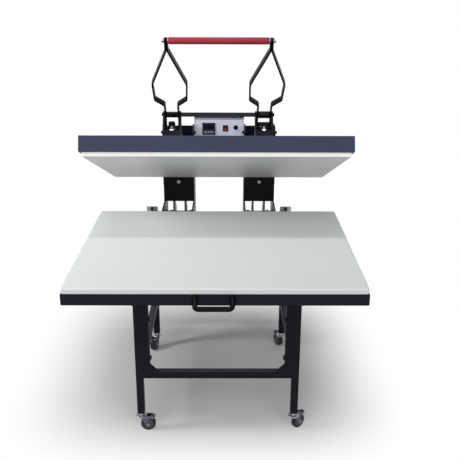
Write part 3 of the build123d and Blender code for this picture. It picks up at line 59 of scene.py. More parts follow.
class Signal:
    """One socket of a material's nodes; sums, products and comparisons of signals add Math nodes."""

    def __init__(self, finish, socket):
        self.finish = finish
        self.socket = socket

    def maths(self, operation, other):
        return self.finish.node("ShaderNodeMath", {"operation": operation}, {0: self, 1: other}).out()

    def __add__(self, other):
        return self.maths("ADD", other)

    def __sub__(self, other):
        return self.maths("SUBTRACT", other)

    def __mul__(self, other):
        return self.maths("MULTIPLY", other)

    def __pow__(self, other):
        return self.maths("POWER", other)

    def __gt__(self, other):
        return self.maths("GREATER_THAN", other)

    __radd__ = __add__


class Made:
    """A node that has been added, with its outputs as signals."""

    def __init__(self, finish, node):
        self.finish = finish
        self.node = node

    def out(self, key=0):
        return Signal(self.finish, self.node.outputs[key])


class Finish:
    """A material, or another owner of shader nodes: node() adds any node, surface() ends a
    material in a Principled shader."""

    def __init__(self, name, owner=None):
        self.owner = owner or bpy.data.materials.new(name)
        self.owner.use_nodes = True
        self.tree = self.owner.node_tree
        self.tree.nodes.clear()
        self.place = self.node("ShaderNodeTexCoord").out("Object")

    def feed(self, socket, value):
        """Gives a socket a link from a signal, or a plain value."""
        if isinstance(value, Signal):
            self.tree.links.new(value.socket, socket)
        else:
            socket.default_value = value

    def node(self, kind, settings=None, sockets=None):
        """Adds a node: its settings are set first, then its sockets get values or links."""
        node = self.tree.nodes.new(kind)
        for key, value in (settings or {}).items():
            setattr(node, key, value)
        for key, value in (sockets or {}).items():
            self.feed(node.inputs[key], value)
        return Made(self, node)

    def noise(self, scale, detail, roughness=0.5, stretch=None):
        """Cloudy noise from 0 to 1 on the object's own coordinates, stretched along an axis if told."""
        place = self.place
        if stretch:
            place = self.node("ShaderNodeMapping", {}, {"Vector": place, "Scale": stretch}).out()
        sockets = {"Vector": place, "Scale": scale, "Detail": detail, "Roughness": roughness}
        return self.node("ShaderNodeTexNoise", {}, sockets).out()

    def blend(self, amount, low, high):
        """Colour that goes from low to high as amount goes from 0 to 1."""
        mix = self.node("ShaderNodeMix", {"data_type": "RGBA"}).node
        self.feed(mix.inputs[0], amount)
        colours = [socket for socket in mix.inputs if socket.type == "RGBA"]
        for socket, value in zip(colours, (low, high)):
            self.feed(socket, value if isinstance(value, Signal) else (*value, 1.0))
        return Signal(self, next(socket for socket in mix.outputs if socket.type == "RGBA"))

    def bump(self, height, depth):
        sockets = {"Height": height, "Distance": depth, "Strength": 1.0}
        return self.node("ShaderNodeBump", {}, sockets).out("Normal")

    def surface(self, colour, roughness, normal, **fixed):
        """Ends the material. fixed gives plain numbers for further sockets of the shader."""
        sockets = {"Base Color": colour, "Roughness": roughness, "Normal": normal}
        for key, value in fixed.items():
            sockets[key.replace("_", " ")] = value
        shader = self.node("ShaderNodeBsdfPrincipled", {}, sockets).out("BSDF")
        self.node("ShaderNodeOutputMaterial", {}, {"Surface": shader})
        return self.owner


def shade(colour, factor):
    return tuple(min(1.0, channel * factor) for channel in colour)


# Powder coat: noise scales per metre, the noise levels above which a place is rubbed and polished,
# how much of the rubbed tint shows there, and how far gloss follows the polish and the clouds
CLOUD_SCALE, RUB_SCALE, PEEL_SCALE = 7.0, 24.0, 620.0
RUB_LEVEL, RUB_TINT, RUB_SHARE = 0.68, 1.35, 0.35
POLISH_LEVEL, POLISH_GLOSS, CLOUD_GLOSS = 0.66, 0.06, 0.12


def powder_coat(name, colour, roughness, peel=0.00012, *, shine, painted_light=None):
    """Baked powder coat: orange peel a millimetre or two across, faint clouding, a little handling
    polish, and painted light where the surface faces up: upward faces blend towards a lighter colour."""
    finish = Finish(name)
    clouds = finish.noise(CLOUD_SCALE, detail=4.0)
    peel_height = finish.noise(PEEL_SCALE, detail=2.0)
    rubbed = finish.noise(RUB_SCALE, detail=6.0, roughness=0.7)
    tint = finish.blend(clouds, shade(colour, 0.85), shade(colour, 1.15))
    tint = finish.blend((rubbed > RUB_LEVEL) * RUB_SHARE, tint, shade(colour, RUB_TINT))
    # Painted light: the more a face points up, the more it takes the lighter colour, as if lit from
    # above
    if painted_light:
        facing = finish.node("ShaderNodeNewGeometry").out("Normal")
        upward = finish.node("ShaderNodeSeparateXYZ", {}, {"Vector": facing}).out("Z")
        tint = finish.blend(upward.maths("MAXIMUM", 0.0), tint, painted_light)
    gloss = roughness + (clouds - 0.5) * CLOUD_GLOSS - (rubbed > POLISH_LEVEL) * POLISH_GLOSS
    return finish.surface(tint, gloss, finish.bump(peel_height, peel), Specular_IOR_Level=shine)


def worked_metal(name, colour, roughness, grain=(1.0, 1.0, 1.0), blotch=0.1, metal=1.0):
    """Bare metal with drawn grain along the axis whose stretch is smallest, and faint tarnish."""
    finish = Finish(name)
    lines = finish.noise(500.0, detail=3.0, stretch=grain)
    tarnish = finish.noise(30.0, detail=5.0, roughness=0.65)
    tint = finish.blend(tarnish, shade(colour, 1.0 - blotch), shade(colour, 1.0 + blotch))
    gloss = roughness + (lines - 0.5) * 0.2 + (tarnish - 0.5) * 0.15
    return finish.surface(tint, gloss, finish.bump(lines, 0.00004), Metallic=metal)


def moulded(name, colour, roughness, grain=900.0, depth=0.00006, shine=0.5):
    """Moulded plastic or rubber: a fine even grain and a trace of clouding."""
    finish = Finish(name)
    pores = finish.noise(grain, detail=1.0)
    clouds = finish.noise(14.0, detail=3.0)
    tint = finish.blend(clouds, shade(colour, 0.94), shade(colour, 1.06))
    gloss = roughness + (clouds - 0.5) * 0.1
    return finish.surface(tint, gloss, finish.bump(pores, depth), Specular_IOR_Level=shine)


def pad_sponge(name, colour):
    """Silicone sponge under a smooth skin: fine pores, broad handling marks, a faint waxy sheen."""
    finish = Finish(name)
    cells = {"Vector": finish.place, "Scale": 420.0}
    pores = finish.node("ShaderNodeTexVoronoi", {}, cells).out("Distance")
    broad = finish.noise(2.3, detail=5.0, roughness=0.55)
    smears = finish.noise(9.0, detail=6.0, roughness=0.6, stretch=(1.0, 0.35, 1.0))
    tint = finish.blend(broad, shade(colour, 0.965), shade(colour, 1.03))
    tint = finish.blend(smears * 0.25, tint, shade(colour, 0.95))
    gloss = 0.62 + (smears - 0.5) * 0.16
    return finish.surface(tint, gloss, finish.bump(pores, 0.00008), Specular_IOR_Level=0.35)


def heated_skin(name, colour):
    """Non-stick coat under the heated plate: pale grey, matt, with the faint swirl of its polish."""
    finish = Finish(name)
    swirl = finish.noise(55.0, detail=4.0, stretch=(0.2, 1.0, 1.0))
    clouds = finish.noise(3.0, detail=4.0)
    tint = finish.blend(clouds, shade(colour, 0.97), shade(colour, 1.02))
    return finish.surface(tint, 0.45 + (swirl - 0.5) * 0.15, finish.bump(swirl, 0.00002))


# Lighter tone of the stand's paint for its upward faces: painted light from above
STAND_PAINTED_LIGHT = (0.045, 0.049, 0.066)
STAND_COAT = powder_coat("stand_coat", (0.0066, 0.0068, 0.0105), 0.42, shine=0.08, painted_light=STAND_PAINTED_LIGHT)
FRAME_COAT = powder_coat("frame_coat", (0.0105, 0.0130, 0.0200), 0.40, shine=0.06)
COVER_COAT = powder_coat("cover_coat", (0.0325, 0.0375, 0.072), 0.5, 0.00016, shine=0.15)
MACHINE_COAT = powder_coat("machine_coat", (0.0040, 0.0046, 0.0066), 0.36, shine=0.08)
MATT_COAT = powder_coat("matt_coat", (0.0045, 0.0052, 0.0085), 0.6, shine=0.0)
BAR_COAT = powder_coat("bar_coat", (0.020, 0.0215, 0.030), 0.42, shine=0.06)
GLOSS_COAT = powder_coat("gloss_coat", (0.0022, 0.0026, 0.0045), 0.25, 0.00004, shine=0.08)
BRIGHT_STEEL = worked_metal("bright_steel", (0.50, 0.51, 0.53), 0.26, (1.0, 0.04, 1.0))
ZINC = worked_metal("zinc", (0.30, 0.31, 0.34), 0.34, blotch=0.16)
FORK_GREY = worked_metal("fork_grey", (0.13, 0.14, 0.17), 0.36, blotch=0.2)
CHROME = worked_metal("chrome", (0.78, 0.79, 0.80), 0.08, blotch=0.03)
PLATE_EDGE = worked_metal("plate_edge", (0.97, 0.97, 0.98), 0.5, (0.04, 1.0, 1.0), 0.01, 0.0)
PANEL_SILVER = worked_metal("panel_silver", (0.76, 0.78, 0.92), 0.5, (0.03, 1.0, 1.0), 0.03, 0.0)
# Painted shade: a darker tone of the panel's silver, for the sheet laid on its bevel
BEVEL_SHADE = worked_metal("bevel_grey", (0.125, 0.138, 0.185), 0.5, (0.03, 1.0, 1.0), 0.03, 0.0)
HEATED_SKIN = heated_skin("heated_skin", (0.56, 0.57, 0.555))
PAD_SPONGE = pad_sponge("pad_sponge", (0.68, 0.72, 0.715))
GRIP_FOAM = moulded("grip_foam", (0.34, 0.023, 0.050), 0.5, 700.0, 0.00012, shine=0.2)
BLACK_PLASTIC = moulded("black_plastic", (0.007, 0.007, 0.010), 0.4, shine=0.12)
CASE_GREY = moulded("case_grey", (0.034, 0.036, 0.055), 0.4, shine=0.12)
GLOSS_BLACK = moulded("gloss_black", (0.0025, 0.0028, 0.0045), 0.2, depth=0.00001, shine=0.05)
KEY_GREY = moulded("key_grey", (0.34, 0.35, 0.40), 0.4)
STRIP_GREY = moulded("strip_grey", (0.10, 0.105, 0.135), 0.45)
MARK_WHITE = moulded("mark_white", (0.42, 0.28, 0.30), 0.4)
DISPLAY_GLASS = moulded("display_glass", (0.0085, 0.0095, 0.021), 0.06, depth=0.0, shine=0.25)
ROCKER_RED = moulded("rocker_red", (0.085, 0.005, 0.010), 0.25, depth=0.00001, shine=0.2)
TYRE_RUBBER = moulded("tyre_rubber", (0.013, 0.014, 0.018), 0.6, 500.0, 0.0001, shine=0.2)
HUB_GREY = moulded("hub_grey", (0.055, 0.060, 0.078), 0.45, shine=0.3)
WADDING = moulded("wadding", (0.62, 0.60, 0.55), 0.9, 260.0, 0.0006)

# Finish of the parts that stay, and how far their edges are rounded
NODE_FINISH = [
    (STAND_COAT, 0.0009, "side_frame_left side_frame_right front_cross_frame rear_cross_frame"),
    (STAND_COAT, 0.0009, "base_frame"),
    (STAND_COAT, 0.0, "drawer_tray"),
    (FRAME_COAT, 0.0009, "drawer_frame"),
    (MACHINE_COAT, 0.0007, "upright_left upright_right arm_left arm_right"),
    (MACHINE_COAT, 0.0008, "pressure_posts toggle_links"),
    (BAR_COAT, 0.001, "tie_bar"),
    (COVER_COAT, 0.0008, "head_cover"),
    (PLATE_EDGE, 0.0008, "heat_plate"),
    (BRIGHT_STEEL, 0.0006, "guide_rails"),
    (BRIGHT_STEEL, 0.0, "heating_elements"),
    (ZINC, 0.0006, "grip_rod"),
    (WADDING, 0.0, "insulation_blanket"),
    (PANEL_SILVER, 0.0004, "control_panel"),
    (CASE_GREY, 0.0005, "controller_case"),
    (DISPLAY_GLASS, 0.0, "controller_display"),
    (BLACK_PLASTIC, 0.0003, "switch_frames"),
    (KEY_GREY, 0.0004, "key_set key_down key_up"),
]
SAME_POINT, FLAT_ANGLE, EDGE_ANGLE = 1e-6, radians(0.5), radians(40)


def dress(node, material, edge):
    """Gives a CAD node its finish and rounds its edges: seams joined, flat triangles merged, edges
    bevelled, and the shading weighted towards the large faces."""
    body = nodes[node]
    body.data.materials.clear()
    body.data.materials.append(material)
    if edge:
        weld = body.modifiers.new("join", "WELD")
        weld.merge_threshold = SAME_POINT
        flat = body.modifiers.new("flats", "DECIMATE")
        flat.decimate_type = "DISSOLVE"
        flat.angle_limit = FLAT_ANGLE
        bevel = body.modifiers.new("edges", "BEVEL")
        bevel.width = edge
        bevel.segments = 2
        bevel.limit_method = "ANGLE"
        bevel.angle_limit = EDGE_ANGLE
        even = body.modifiers.new("even shading", "WEIGHTED_NORMAL")
        even.mode = "FACE_AREA"
        even.weight = 100
        even.keep_sharp = True


for material, edge, names in NODE_FINISH:
    for node in names.split():
        dress(node, material, edge)


# Shapes: each is a pair of points and faces, worked out as whole arrays

def joined(*shapes):
    """Several shapes as one."""
    points, faces, count = [], [], 0
    for some_points, some_faces in shapes:
        points.append(np.asarray(some_points, float))
        faces += [[index + count for index in face] for face in some_faces]
        count += len(some_points)
    return np.concatenate(points), faces


def skin(rings, loop=False):
    """Closed skin over rings (rings, points, 3): quads between neighbours, and a face at each end
    or a loop."""
    count, around = rings.shape[:2]
    i, j = np.meshgrid(np.arange(count if loop else count - 1), np.arange(around), indexing="ij")
    k, n = (j + 1) % around, (i + 1) % count
    quads = np.stack([i * around + j, i * around + k, n * around + k, n * around + j], -1)
    faces = quads.reshape(-1, 4).tolist()
    if not loop:
        faces += [list(range(around))[::-1], list(range((count - 1) * around, count * around))]
    return rings.reshape(-1, 3), faces


def placed(shape, spot=(0, 0, 0), x=(1, 0, 0), z=(0, 0, 1)):
    """A shape drawn about the origin, moved to a spot with its x and z along the given directions."""
    z = np.asarray(z, float) / np.linalg.norm(z)
    x = np.asarray(x, float) - np.dot(x, z) * z
    x /= np.linalg.norm(x)
    axes = np.stack([x, np.cross(z, x), z])
    return np.asarray(shape[0]) @ axes + np.asarray(spot, float), shape[1]


def polar(radius, angle, height):
    """Points at a radius, angle and height; the three are spread to one common shape."""
    return np.stack([radius * np.cos(angle), radius * np.sin(angle), height + 0 * angle], -1)


def turned(profile, around=40, loop=False):
    """Turned about z: each (radius, height) of the profile gives a circle of points."""
    radius, height = np.asarray(profile, float).T[:, :, None]
    return skin(polar(radius, np.linspace(0, 2 * pi, around, endpoint=False)[None], height), loop)


def lathe(profile, spot=(0, 0, 0), x=(1, 0, 0), z=(0, 0, 1), around=40, loop=False):
    """A turned shape, placed."""
    return placed(turned(profile, around, loop), spot, x, z)


def mirrored(half):
    """A profile up to its middle, and its mirror image across z = 0 after it."""
    return half + [(radius, -height) for radius, height in reversed(half)]


def box_outline(width, depth, corner, steps=5):
    """Rounded rectangle about the origin as (points, 2): four quarter circles, joined."""
    angle = np.linspace(0, pi / 2, steps)
    quarter = np.stack([np.cos(angle), np.sin(angle)], -1) * corner
    turns = [np.array([[cos(t), sin(t)], [-sin(t), cos(t)]]) for t in (0, pi / 2, pi, 3 * pi / 2)]
    middles = np.array([[1, 1], [-1, 1], [-1, -1], [1, -1]]) * [width / 2 - corner, depth / 2 - corner]
    return np.concatenate([quarter @ t + m for t, m in zip(turns, middles)])


def stack(width, depth, corner, levels, steps=5):
    """Rounded rectangles one above the other: each level is (inset from the edge, height)."""
    rings = []
    for inset, height in levels:
        radius = max(corner - inset, corner * 0.05)
        loop = box_outline(width - 2 * inset, depth - 2 * inset, radius, steps)
        rings.append(np.column_stack([loop, np.full(len(loop), height)]))
    return skin(np.array(rings))


def block(width, depth, height, corner, edge, steps=4):
    """Rounded box that stands on z = 0: its top and bottom edges are quarter circles of radius edge."""
    angle = np.linspace(0, pi / 2, steps)
    low = [(edge - edge * sin(a), edge - edge * cos(a)) for a in angle]
    high = [(edge - edge * cos(a), height - edge + edge * sin(a)) for a in angle]
    return stack(width, depth, corner, low + high, steps)


def rounded(points, radius, steps=6):
    """A run of straight lines with its inner corners turned into arcs that touch both sides."""
    points = np.asarray(points, float)
    radius = np.broadcast_to(radius, len(points) - 2)
    run = [points[:1]]
    for before, corner, after, r in zip(points, points[1:], points[2:], radius):
        back, on = before - corner, after - corner
        back /= np.linalg.norm(back)
        on /= np.linalg.norm(on)
        half = np.arccos(np.clip(back @ on, -1, 1)) / 2
        middle = corner + (back + on) / np.linalg.norm(back + on) * r / np.sin(half)
        first, last = corner + back * r / np.tan(half) - middle, corner + on * r / np.tan(half) - middle
        share = np.linspace(0, 1, steps)[:, None]
        arc = first * (1 - share) + last * share
        run.append(middle + arc / np.linalg.norm(arc, axis=1)[:, None] * r)
    return np.concatenate(run + [points[-1:]])


def swept(path, outline, normal, sizes=None):
    """An outline carried along a flat path: its x lies along the plane's normal, its y in the plane."""
    path = np.asarray(path, float)
    along = np.gradient(path, axis=0)
    along /= np.linalg.norm(along, axis=1)[:, None]
    normal = np.asarray(normal, float) / np.linalg.norm(normal)
    across = np.cross(along, normal)
    across /= np.linalg.norm(across, axis=1)[:, None]
    outline = np.asarray(outline, float)
    sizes = np.ones(len(path)) if sizes is None else sizes
    section = outline[None, :, :1] * normal + outline[None, :, 1:] * across[:, None]
    return skin(path[:, None] + sizes[:, None, None] * section)


def circle(radius, around=20):
    angle = np.linspace(0, 2 * pi, around, endpoint=False)
    return np.stack([np.cos(angle), np.sin(angle)], -1) * radius


def plate(outline, holes, thickness, edge=0.0006):
    """Flat plate on z = 0 with holes: a filled curve given thickness, its edges broken."""
    curve = bpy.data.curves.new("plate", "CURVE")
    curve.dimensions = "2D"
    curve.fill_mode = "BOTH"
    curve.extrude = thickness / 2 - edge
    curve.bevel_depth = edge
    curve.bevel_resolution = 1
    curve.offset = -edge
    for line in [outline, *[hole[::-1] for hole in holes]]:
        spline = curve.splines.new("POLY")
        spline.points.add(len(line) - 1)
        ones = np.column_stack([line, np.zeros(len(line)), np.ones(len(line))])
        spline.points.foreach_set("co", ones.ravel())
        spline.use_cyclic_u = True
    holder = bpy.data.objects.new("plate", curve)
    mesh = bpy.data.meshes.new_from_object(holder)
    points = np.zeros(len(mesh.vertices) * 3)
    mesh.vertices.foreach_get("co", points)
    faces = [list(face.vertices) for face in mesh.polygons]
    bpy.data.objects.remove(holder)
    bpy.data.curves.remove(curve)
    bpy.data.meshes.remove(mesh)
    return points.reshape(-1, 3) + [0, 0, thickness / 2], faces


def hex_head(across, height):
    """Hexagon bolt head on z = 0: six flats under a turned chamfer."""
    angle = np.linspace(0, 2 * pi, 48, endpoint=False)
    flats = across / 2 / np.cos((angle + pi / 6) % (pi / 3) - pi / 6)
    corner = across / 2 / cos(pi / 6)
    levels = [(1.0, 0.0), (1.0, height * 0.8), (0.9, height), (0.55, height)]
    rings = [polar(np.minimum(flats, corner * share), angle, level) for share, level in levels]
    return skin(np.array(rings))


def washer(radius, bore, thickness):
    """Flat ring on z = 0 with broken edges."""
    e = thickness * 0.2
    return turned([(bore, 0), (radius - e, 0), (radius, e), (radius, thickness - e),
                   (radius - e, thickness), (bore, thickness)], 36, loop=True)


BEAD_R, BEAD_STEP, BEAD_WAVE = 0.0028, 0.0011, 0.0032


def weld_bead(start, end, normal):
    """Rippled fillet weld: a round bead whose radius waves every three millimetres and tapers at
    both ends."""
    length = np.linalg.norm(end - start)
    count = max(4, int(length / BEAD_STEP))
    share = np.linspace(0, 1, count)
    waves = 1 + 0.13 * np.abs(np.sin(share * length / BEAD_WAVE * pi))
    taper = np.minimum(1, np.minimum(share, 1 - share) * count / 3 + 0.25)
    return swept(start + (end - start) * share[:, None], circle(BEAD_R, 10), normal, waves * taper)


def piece(name, shape, material, body, replaces=(), sharp=35):
    """Makes a shape into an object that rides on a body: doubles merged, faces outwards, smooth but
    at sharp edges."""
    points, faces = shape
    mesh = bpy.data.meshes.new(name)
    mesh.from_pydata(np.asarray(points).tolist(), [], faces)
    work = bmesh.new()
    work.from_mesh(mesh)
    bmesh.ops.remove_doubles(work, verts=work.verts, dist=SAME_POINT)
    bmesh.ops.recalc_face_normals(work, faces=work.faces)
    work.to_mesh(mesh)
    work.free()
    mesh.shade_smooth()
    mesh.set_sharp_from_angle(angle=radians(sharp))
    mesh.materials.append(material)
    made = bpy.data.objects.new(name, mesh)
    bpy.context.scene.collection.objects.link(made)
    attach(made, body)
    if replaces:
        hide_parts(*replaces)
    return made


# Places: x, back of the middle of the pushed-in platen, and up from the pad's top, as the parts
# have them. ASLANT only steers what is turned about an axis, and no axis lies along it.
HINGE_BACK, HINGE_UP = 0.495, -0.041
PAD_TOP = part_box("silicone_pad")[1][2]
PLATEN_Y = joints["head_lift"]["pos_m"][1] - HINGE_BACK
TIP = radians(joints["head_lift"]["range_deg"][1])
RIGHT, BACK, UP = np.eye(3)
ASLANT = UP + RIGHT + BACK
HEAD_UP = np.array([0, sin(TIP), cos(TIP)])
CORNERS = ("front_left", "front_right", "rear_left", "rear_right")
SIDES = {"left": -1, "right": 1}


def at(x, back, up):
    return np.array([x, PLATEN_Y + back, PAD_TOP + up])


def on_head(x, back, up):
    """Where a place of the closed head stands with the head tipped open."""
    b, u = back - HINGE_BACK, up - HINGE_UP
    return at(x, HINGE_BACK + b * cos(TIP) + u * sin(TIP), HINGE_UP - b * sin(TIP) + u * cos(TIP))


def arc(radius, start, end, middle=(0, 0), steps=12):
    """Points of an arc between two angles in degrees."""
    angle = np.radians(np.linspace(start, end, steps))
    return np.stack([np.cos(angle), np.sin(angle)], -1) * radius + middle


def hex_bolt(spot, out, flats, height, washer_r, shank_r, length):
    """Hexagon bolt on its washer, its head towards out and its shank the other way."""
    rim = 0.0015
    head = placed(hex_head(flats, height - rim), spot + out * rim, UP + RIGHT * 0.3 + BACK * 0.2, out)
    ring = placed(washer(washer_r, shank_r, rim), spot, ASLANT, out)
    shank = lathe([(shank_r, -length), (shank_r, 0.0002)], spot, ASLANT, out, 20)
    return joined(head, ring, shank)


def button_screw(spot, out, radius, height):
    """Low round screw head with a hexagon socket sunk in it."""
    profile = [(radius, 0), (radius, height * 0.35), (radius * 0.88, height * 0.8),
               (radius * 0.6, height), (radius * 0.42, height), (radius * 0.4, height * 0.3)]
    return lathe(profile, spot, ASLANT, out, 24)


# Silicone pad
def pad_slab(width, depth, height):
    """Rounded rectangles one above the other: sides pulled in between two rims, then a crown that
    rises with the fourth power of the distance from the rim."""
    rim = [(0.0024, 0.0), (0.0007, 0.0007), (0.0, 0.0026), (0.0008, height * 0.5),
           (0.0, height - 0.0046), (0.0006, height - 0.0026), (0.0022, height - 0.0012)]
    insets = np.array([0.005, 0.011, 0.024, 0.05, 0.1, 0.2, 0.38])
    crown = np.stack([insets, height - 0.0009 * (1 - insets / 0.4) ** 4], -1)
    return stack(width, depth, 0.007, rim + crown.tolist(), 6)


low, high = (np.array(corner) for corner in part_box("silicone_pad"))
slab = placed(pad_slab(*(high - low)), [(low[0] + high[0]) / 2, (low[1] + high[1]) / 2, low[2]])
piece("platen_pad", slab, PAD_SPONGE, "drawer", ("silicone_pad",), sharp=60)

# Heated plate: the coat on its face, a hair proud of the bare metal
PLATEN_W, PLATEN_D, PRESS_GAP, PROUD = 1.0, 0.8, 0.001, 0.0003
coat = stack(PLATEN_W - 0.003, PLATEN_D - 0.003, 0.002, [(0.0003, 0), (0, 0.0003), (0, 0.0006)])
piece("plate_coat", placed(coat, on_head(0, 0, PRESS_GAP - PROUD), RIGHT, HEAD_UP), HEATED_SKIN,
      "head")

# Lever. Each press unit stands UNIT_X from the middle, and the other widths are taken from there
UNIT_X, UNIT_HALF, SIDE_T, CHEEK_HALF, ARM_OUT = 0.1964, 0.075, 0.007, 0.0315, 0.0385
SIDE_IN = UNIT_HALF - SIDE_T
BAR_T, BAR_W = 0.007, 0.025
PIVOT_BOSS_R, LEVER_PIN_R = 0.015, 0.0055
NECK_END, SHOULDER_END, WIDEST_AT, APEX_RUN = 0.072, 0.108, 0.205, 0.047
SHOULDER_HALF, WIDEST_HALF = 0.066, 0.0695
BEND_RADII = (0.2, 0.013, 0.013, 0.04, 0.03)
LEVER_SKEW, APEX_SPLAY = 0.0072, 0.0022
TAIL_HALF, SLOT_HALF, SLOT_RUN = 0.0155, 0.0083, 0.0142
BUSH_SIDE = 0.022
PIVOT = np.array(joints["lever_swing"]["pos_m"])
GRIP = np.array(joints["grip_spin"]["pos_m"])
KNEE = np.array([0, 0.2778, 1.132])
LEVER_LEN = np.linalg.norm(GRIP - PIVOT)
LEVER_WAY = (GRIP - PIVOT) / LEVER_LEN
TAIL_LEN = np.linalg.norm(KNEE - PIVOT)
TAIL_WAY = (KNEE - PIVOT) / TAIL_LEN
NECK = CHEEK_HALF - BAR_T / 2
BAR_END = [(BAR_W / 2 - 0.001, 0), (BAR_W / 2, 0.001), (BAR_W / 2, BAR_T - 0.001),
           (BAR_W / 2 - 0.001, BAR_T)]


def lever_line(hand, drift):
    """Centre line of one bar as x and distance from the pivot: straight runs, an arc at each bend."""
    apex = LEVER_LEN - APEX_RUN
    halves = np.array([NECK, NECK, SHOULDER_HALF, WIDEST_HALF, BAR_T / 2])
    along = np.array([PIVOT_BOSS_R, NECK_END, SHOULDER_END, WIDEST_AT, apex])
    across = hand * halves + drift * (along - PIVOT_BOSS_R) / (apex - PIVOT_BOSS_R)
    line = [(hand * NECK, 0), *zip(across, along), (hand * BAR_T / 2 + drift, LEVER_LEN)]
    return rounded(line, BEND_RADII)


def tail_plate():
    """Tail of the lever, along x: boss and round end as arcs, straight sides, pin hole and slot."""
    shoulder = TAIL_LEN - SLOT_RUN
    boss = arc(PIVOT_BOSS_R, 44, 316, steps=24)
    end = arc(TAIL_HALF, -90, 90, (TAIL_LEN, 0))
    outline = np.concatenate([boss, [(shoulder, -TAIL_HALF)], end, [(shoulder, TAIL_HALF)]])
    slot = np.concatenate([arc(SLOT_HALF, -90, 90, (TAIL_LEN, 0)),
                           arc(SLOT_HALF, 90, 270, (shoulder, 0))])
    return plate(outline, [circle(LEVER_PIN_R + 0.0001), slot], BAR_T)


def lever_frame(sign):
    """One pear-shaped frame: two flat bars carried along bent lines, their round ends and tails,
    and the square bush between them."""
    drift = LEVER_SKEW + sign * APEX_SPLAY
    middle = sign * UNIT_X
    section = box_outline(BAR_W, BAR_T, 0.0012, 3)
    shapes = []
    for hand in (-1, 1):
        line = lever_line(hand, drift)
        path = PIVOT + RIGHT * (middle + line[:, :1]) + LEVER_WAY * line[:, 1:]
        shapes.append(swept(path, section, np.cross(RIGHT, LEVER_WAY)))
        end = GRIP + RIGHT * (middle + drift + (hand - 1) * BAR_T / 2)
        shapes.append(lathe(BAR_END, end, UP, RIGHT))
        tail = PIVOT + RIGHT * (middle + hand * NECK - BAR_T / 2)
        shapes.append(placed(tail_plate(), tail, TAIL_WAY, RIGHT))
    bush = block(BUSH_SIDE, BUSH_SIDE, 2 * NECK - BAR_T, 0.0015, 0.0008)
    flat = BACK + UP if sign > 0 else BACK
    shapes.append(placed(bush, PIVOT + RIGHT * (middle - NECK + BAR_T / 2), flat, RIGHT))
    return joined(*shapes)


for name, sign in SIDES.items():
    piece(f"lever_pear_{name}", lever_frame(sign), MACHINE_COAT, "lever",
          (f"lever_frame_{name}",))

GRIP_R, GRIP_ROD_R = 0.013, 0.0061
grip_half = UNIT_X + APEX_SPLAY - BAR_T
sleeve_half = grip_half - 0.0022
grip_middle = GRIP + RIGHT * LEVER_SKEW
sleeve = mirrored([(GRIP_ROD_R, -sleeve_half), (GRIP_R - 0.003, -sleeve_half),
                   (GRIP_R - 0.0009, -sleeve_half + 0.0009), (GRIP_R, -sleeve_half + 0.003)])
piece("grip_sleeve", lathe(sleeve, grip_middle, UP, RIGHT, 48, True), GRIP_FOAM, "grip",
      ("hand_grip",))
washers = [placed(washer(0.0118, GRIP_ROD_R, 0.0015), grip_middle + RIGHT * spot, UP, RIGHT)
           for spot in (-grip_half + 0.0003, grip_half - 0.0018)]
piece("grip_washers", joined(*washers), BRIGHT_STEEL, "lever")

# Pressure screws: threaded rod, dome nut and wing knob
SCREW_R, SCREW_LOW, SCREW_TOP, PITCH, THREAD_DEPTH = 0.01, 0.0583, 0.1895, 0.004, 0.0009
NUT_UP, KNOB_UP, KNOB_H, KNOB_HUB, KNOB_REACH = 0.1603, 0.181, 0.017, 0.0138, 0.0298
DOME = [(0.0101, 0), (0.015, 0), (0.015, 0.003), (0.0146, 0.0048), (0.0136, 0.0067),
        (0.012, 0.0085), (0.0101, 0.0098)]
KNOB_LEVELS = [(0.84, 0), (0.95, 0.06), (1, 0.24), (1, 0.66), (0.97, 0.85), (0.88, 0.96), (0.6, 1)]


def thread(radius, depth, pitch, length, around=28, per_turn=8):
    """Threaded rod: its radius falls by the depth along a triangle wave of height less angle."""
    height = np.linspace(0, length, int(length / pitch * per_turn) + 1)[:, None]
    angle = np.linspace(0, 2 * pi, around, endpoint=False)[None]
    turn = (height / pitch - angle / (2 * pi)) % 1
    return skin(polar(radius - depth * np.abs(2 * turn - 1), angle, height))


def wing_knob(hub, reach, height):
    """Cast wing knob: its radius swells from the hub to the wings' reach with the cube of the
    cosine of the angle, taken as positive."""
    share, level = np.array(KNOB_LEVELS).T[:, :, None]
    angle = np.linspace(0, 2 * pi, 64, endpoint=False)[None]
    radius = share * (hub + (reach - hub) * np.abs(np.cos(angle)) ** 3)
    return skin(polar(radius, angle, level * height))


for name, sign in SIDES.items():
    body, slot = f"knob_{name}", "machine_paint"
    long_way = BACK if sign < 0 else RIGHT
    middle = sign * UNIT_X
    rod = placed(thread(SCREW_R, THREAD_DEPTH, PITCH, SCREW_TOP - SCREW_LOW),
                 on_head(middle, 0, SCREW_LOW), RIGHT, HEAD_UP)
    nut = lathe(DOME, on_head(middle, 0, NUT_UP), RIGHT, HEAD_UP, 48, True)
    knob = placed(wing_knob(KNOB_HUB, KNOB_REACH, KNOB_H), on_head(middle, 0, KNOB_UP), long_way,
                  HEAD_UP)
    piece(f"screw_rod_{name}", rod, ZINC, body, (f"pressure_screw_{name}",), sharp=60)
    piece(f"dome_nut_{name}", nut, CHROME, body)
    piece(f"wing_knob_{name}", knob, GLOSS_BLACK, body)

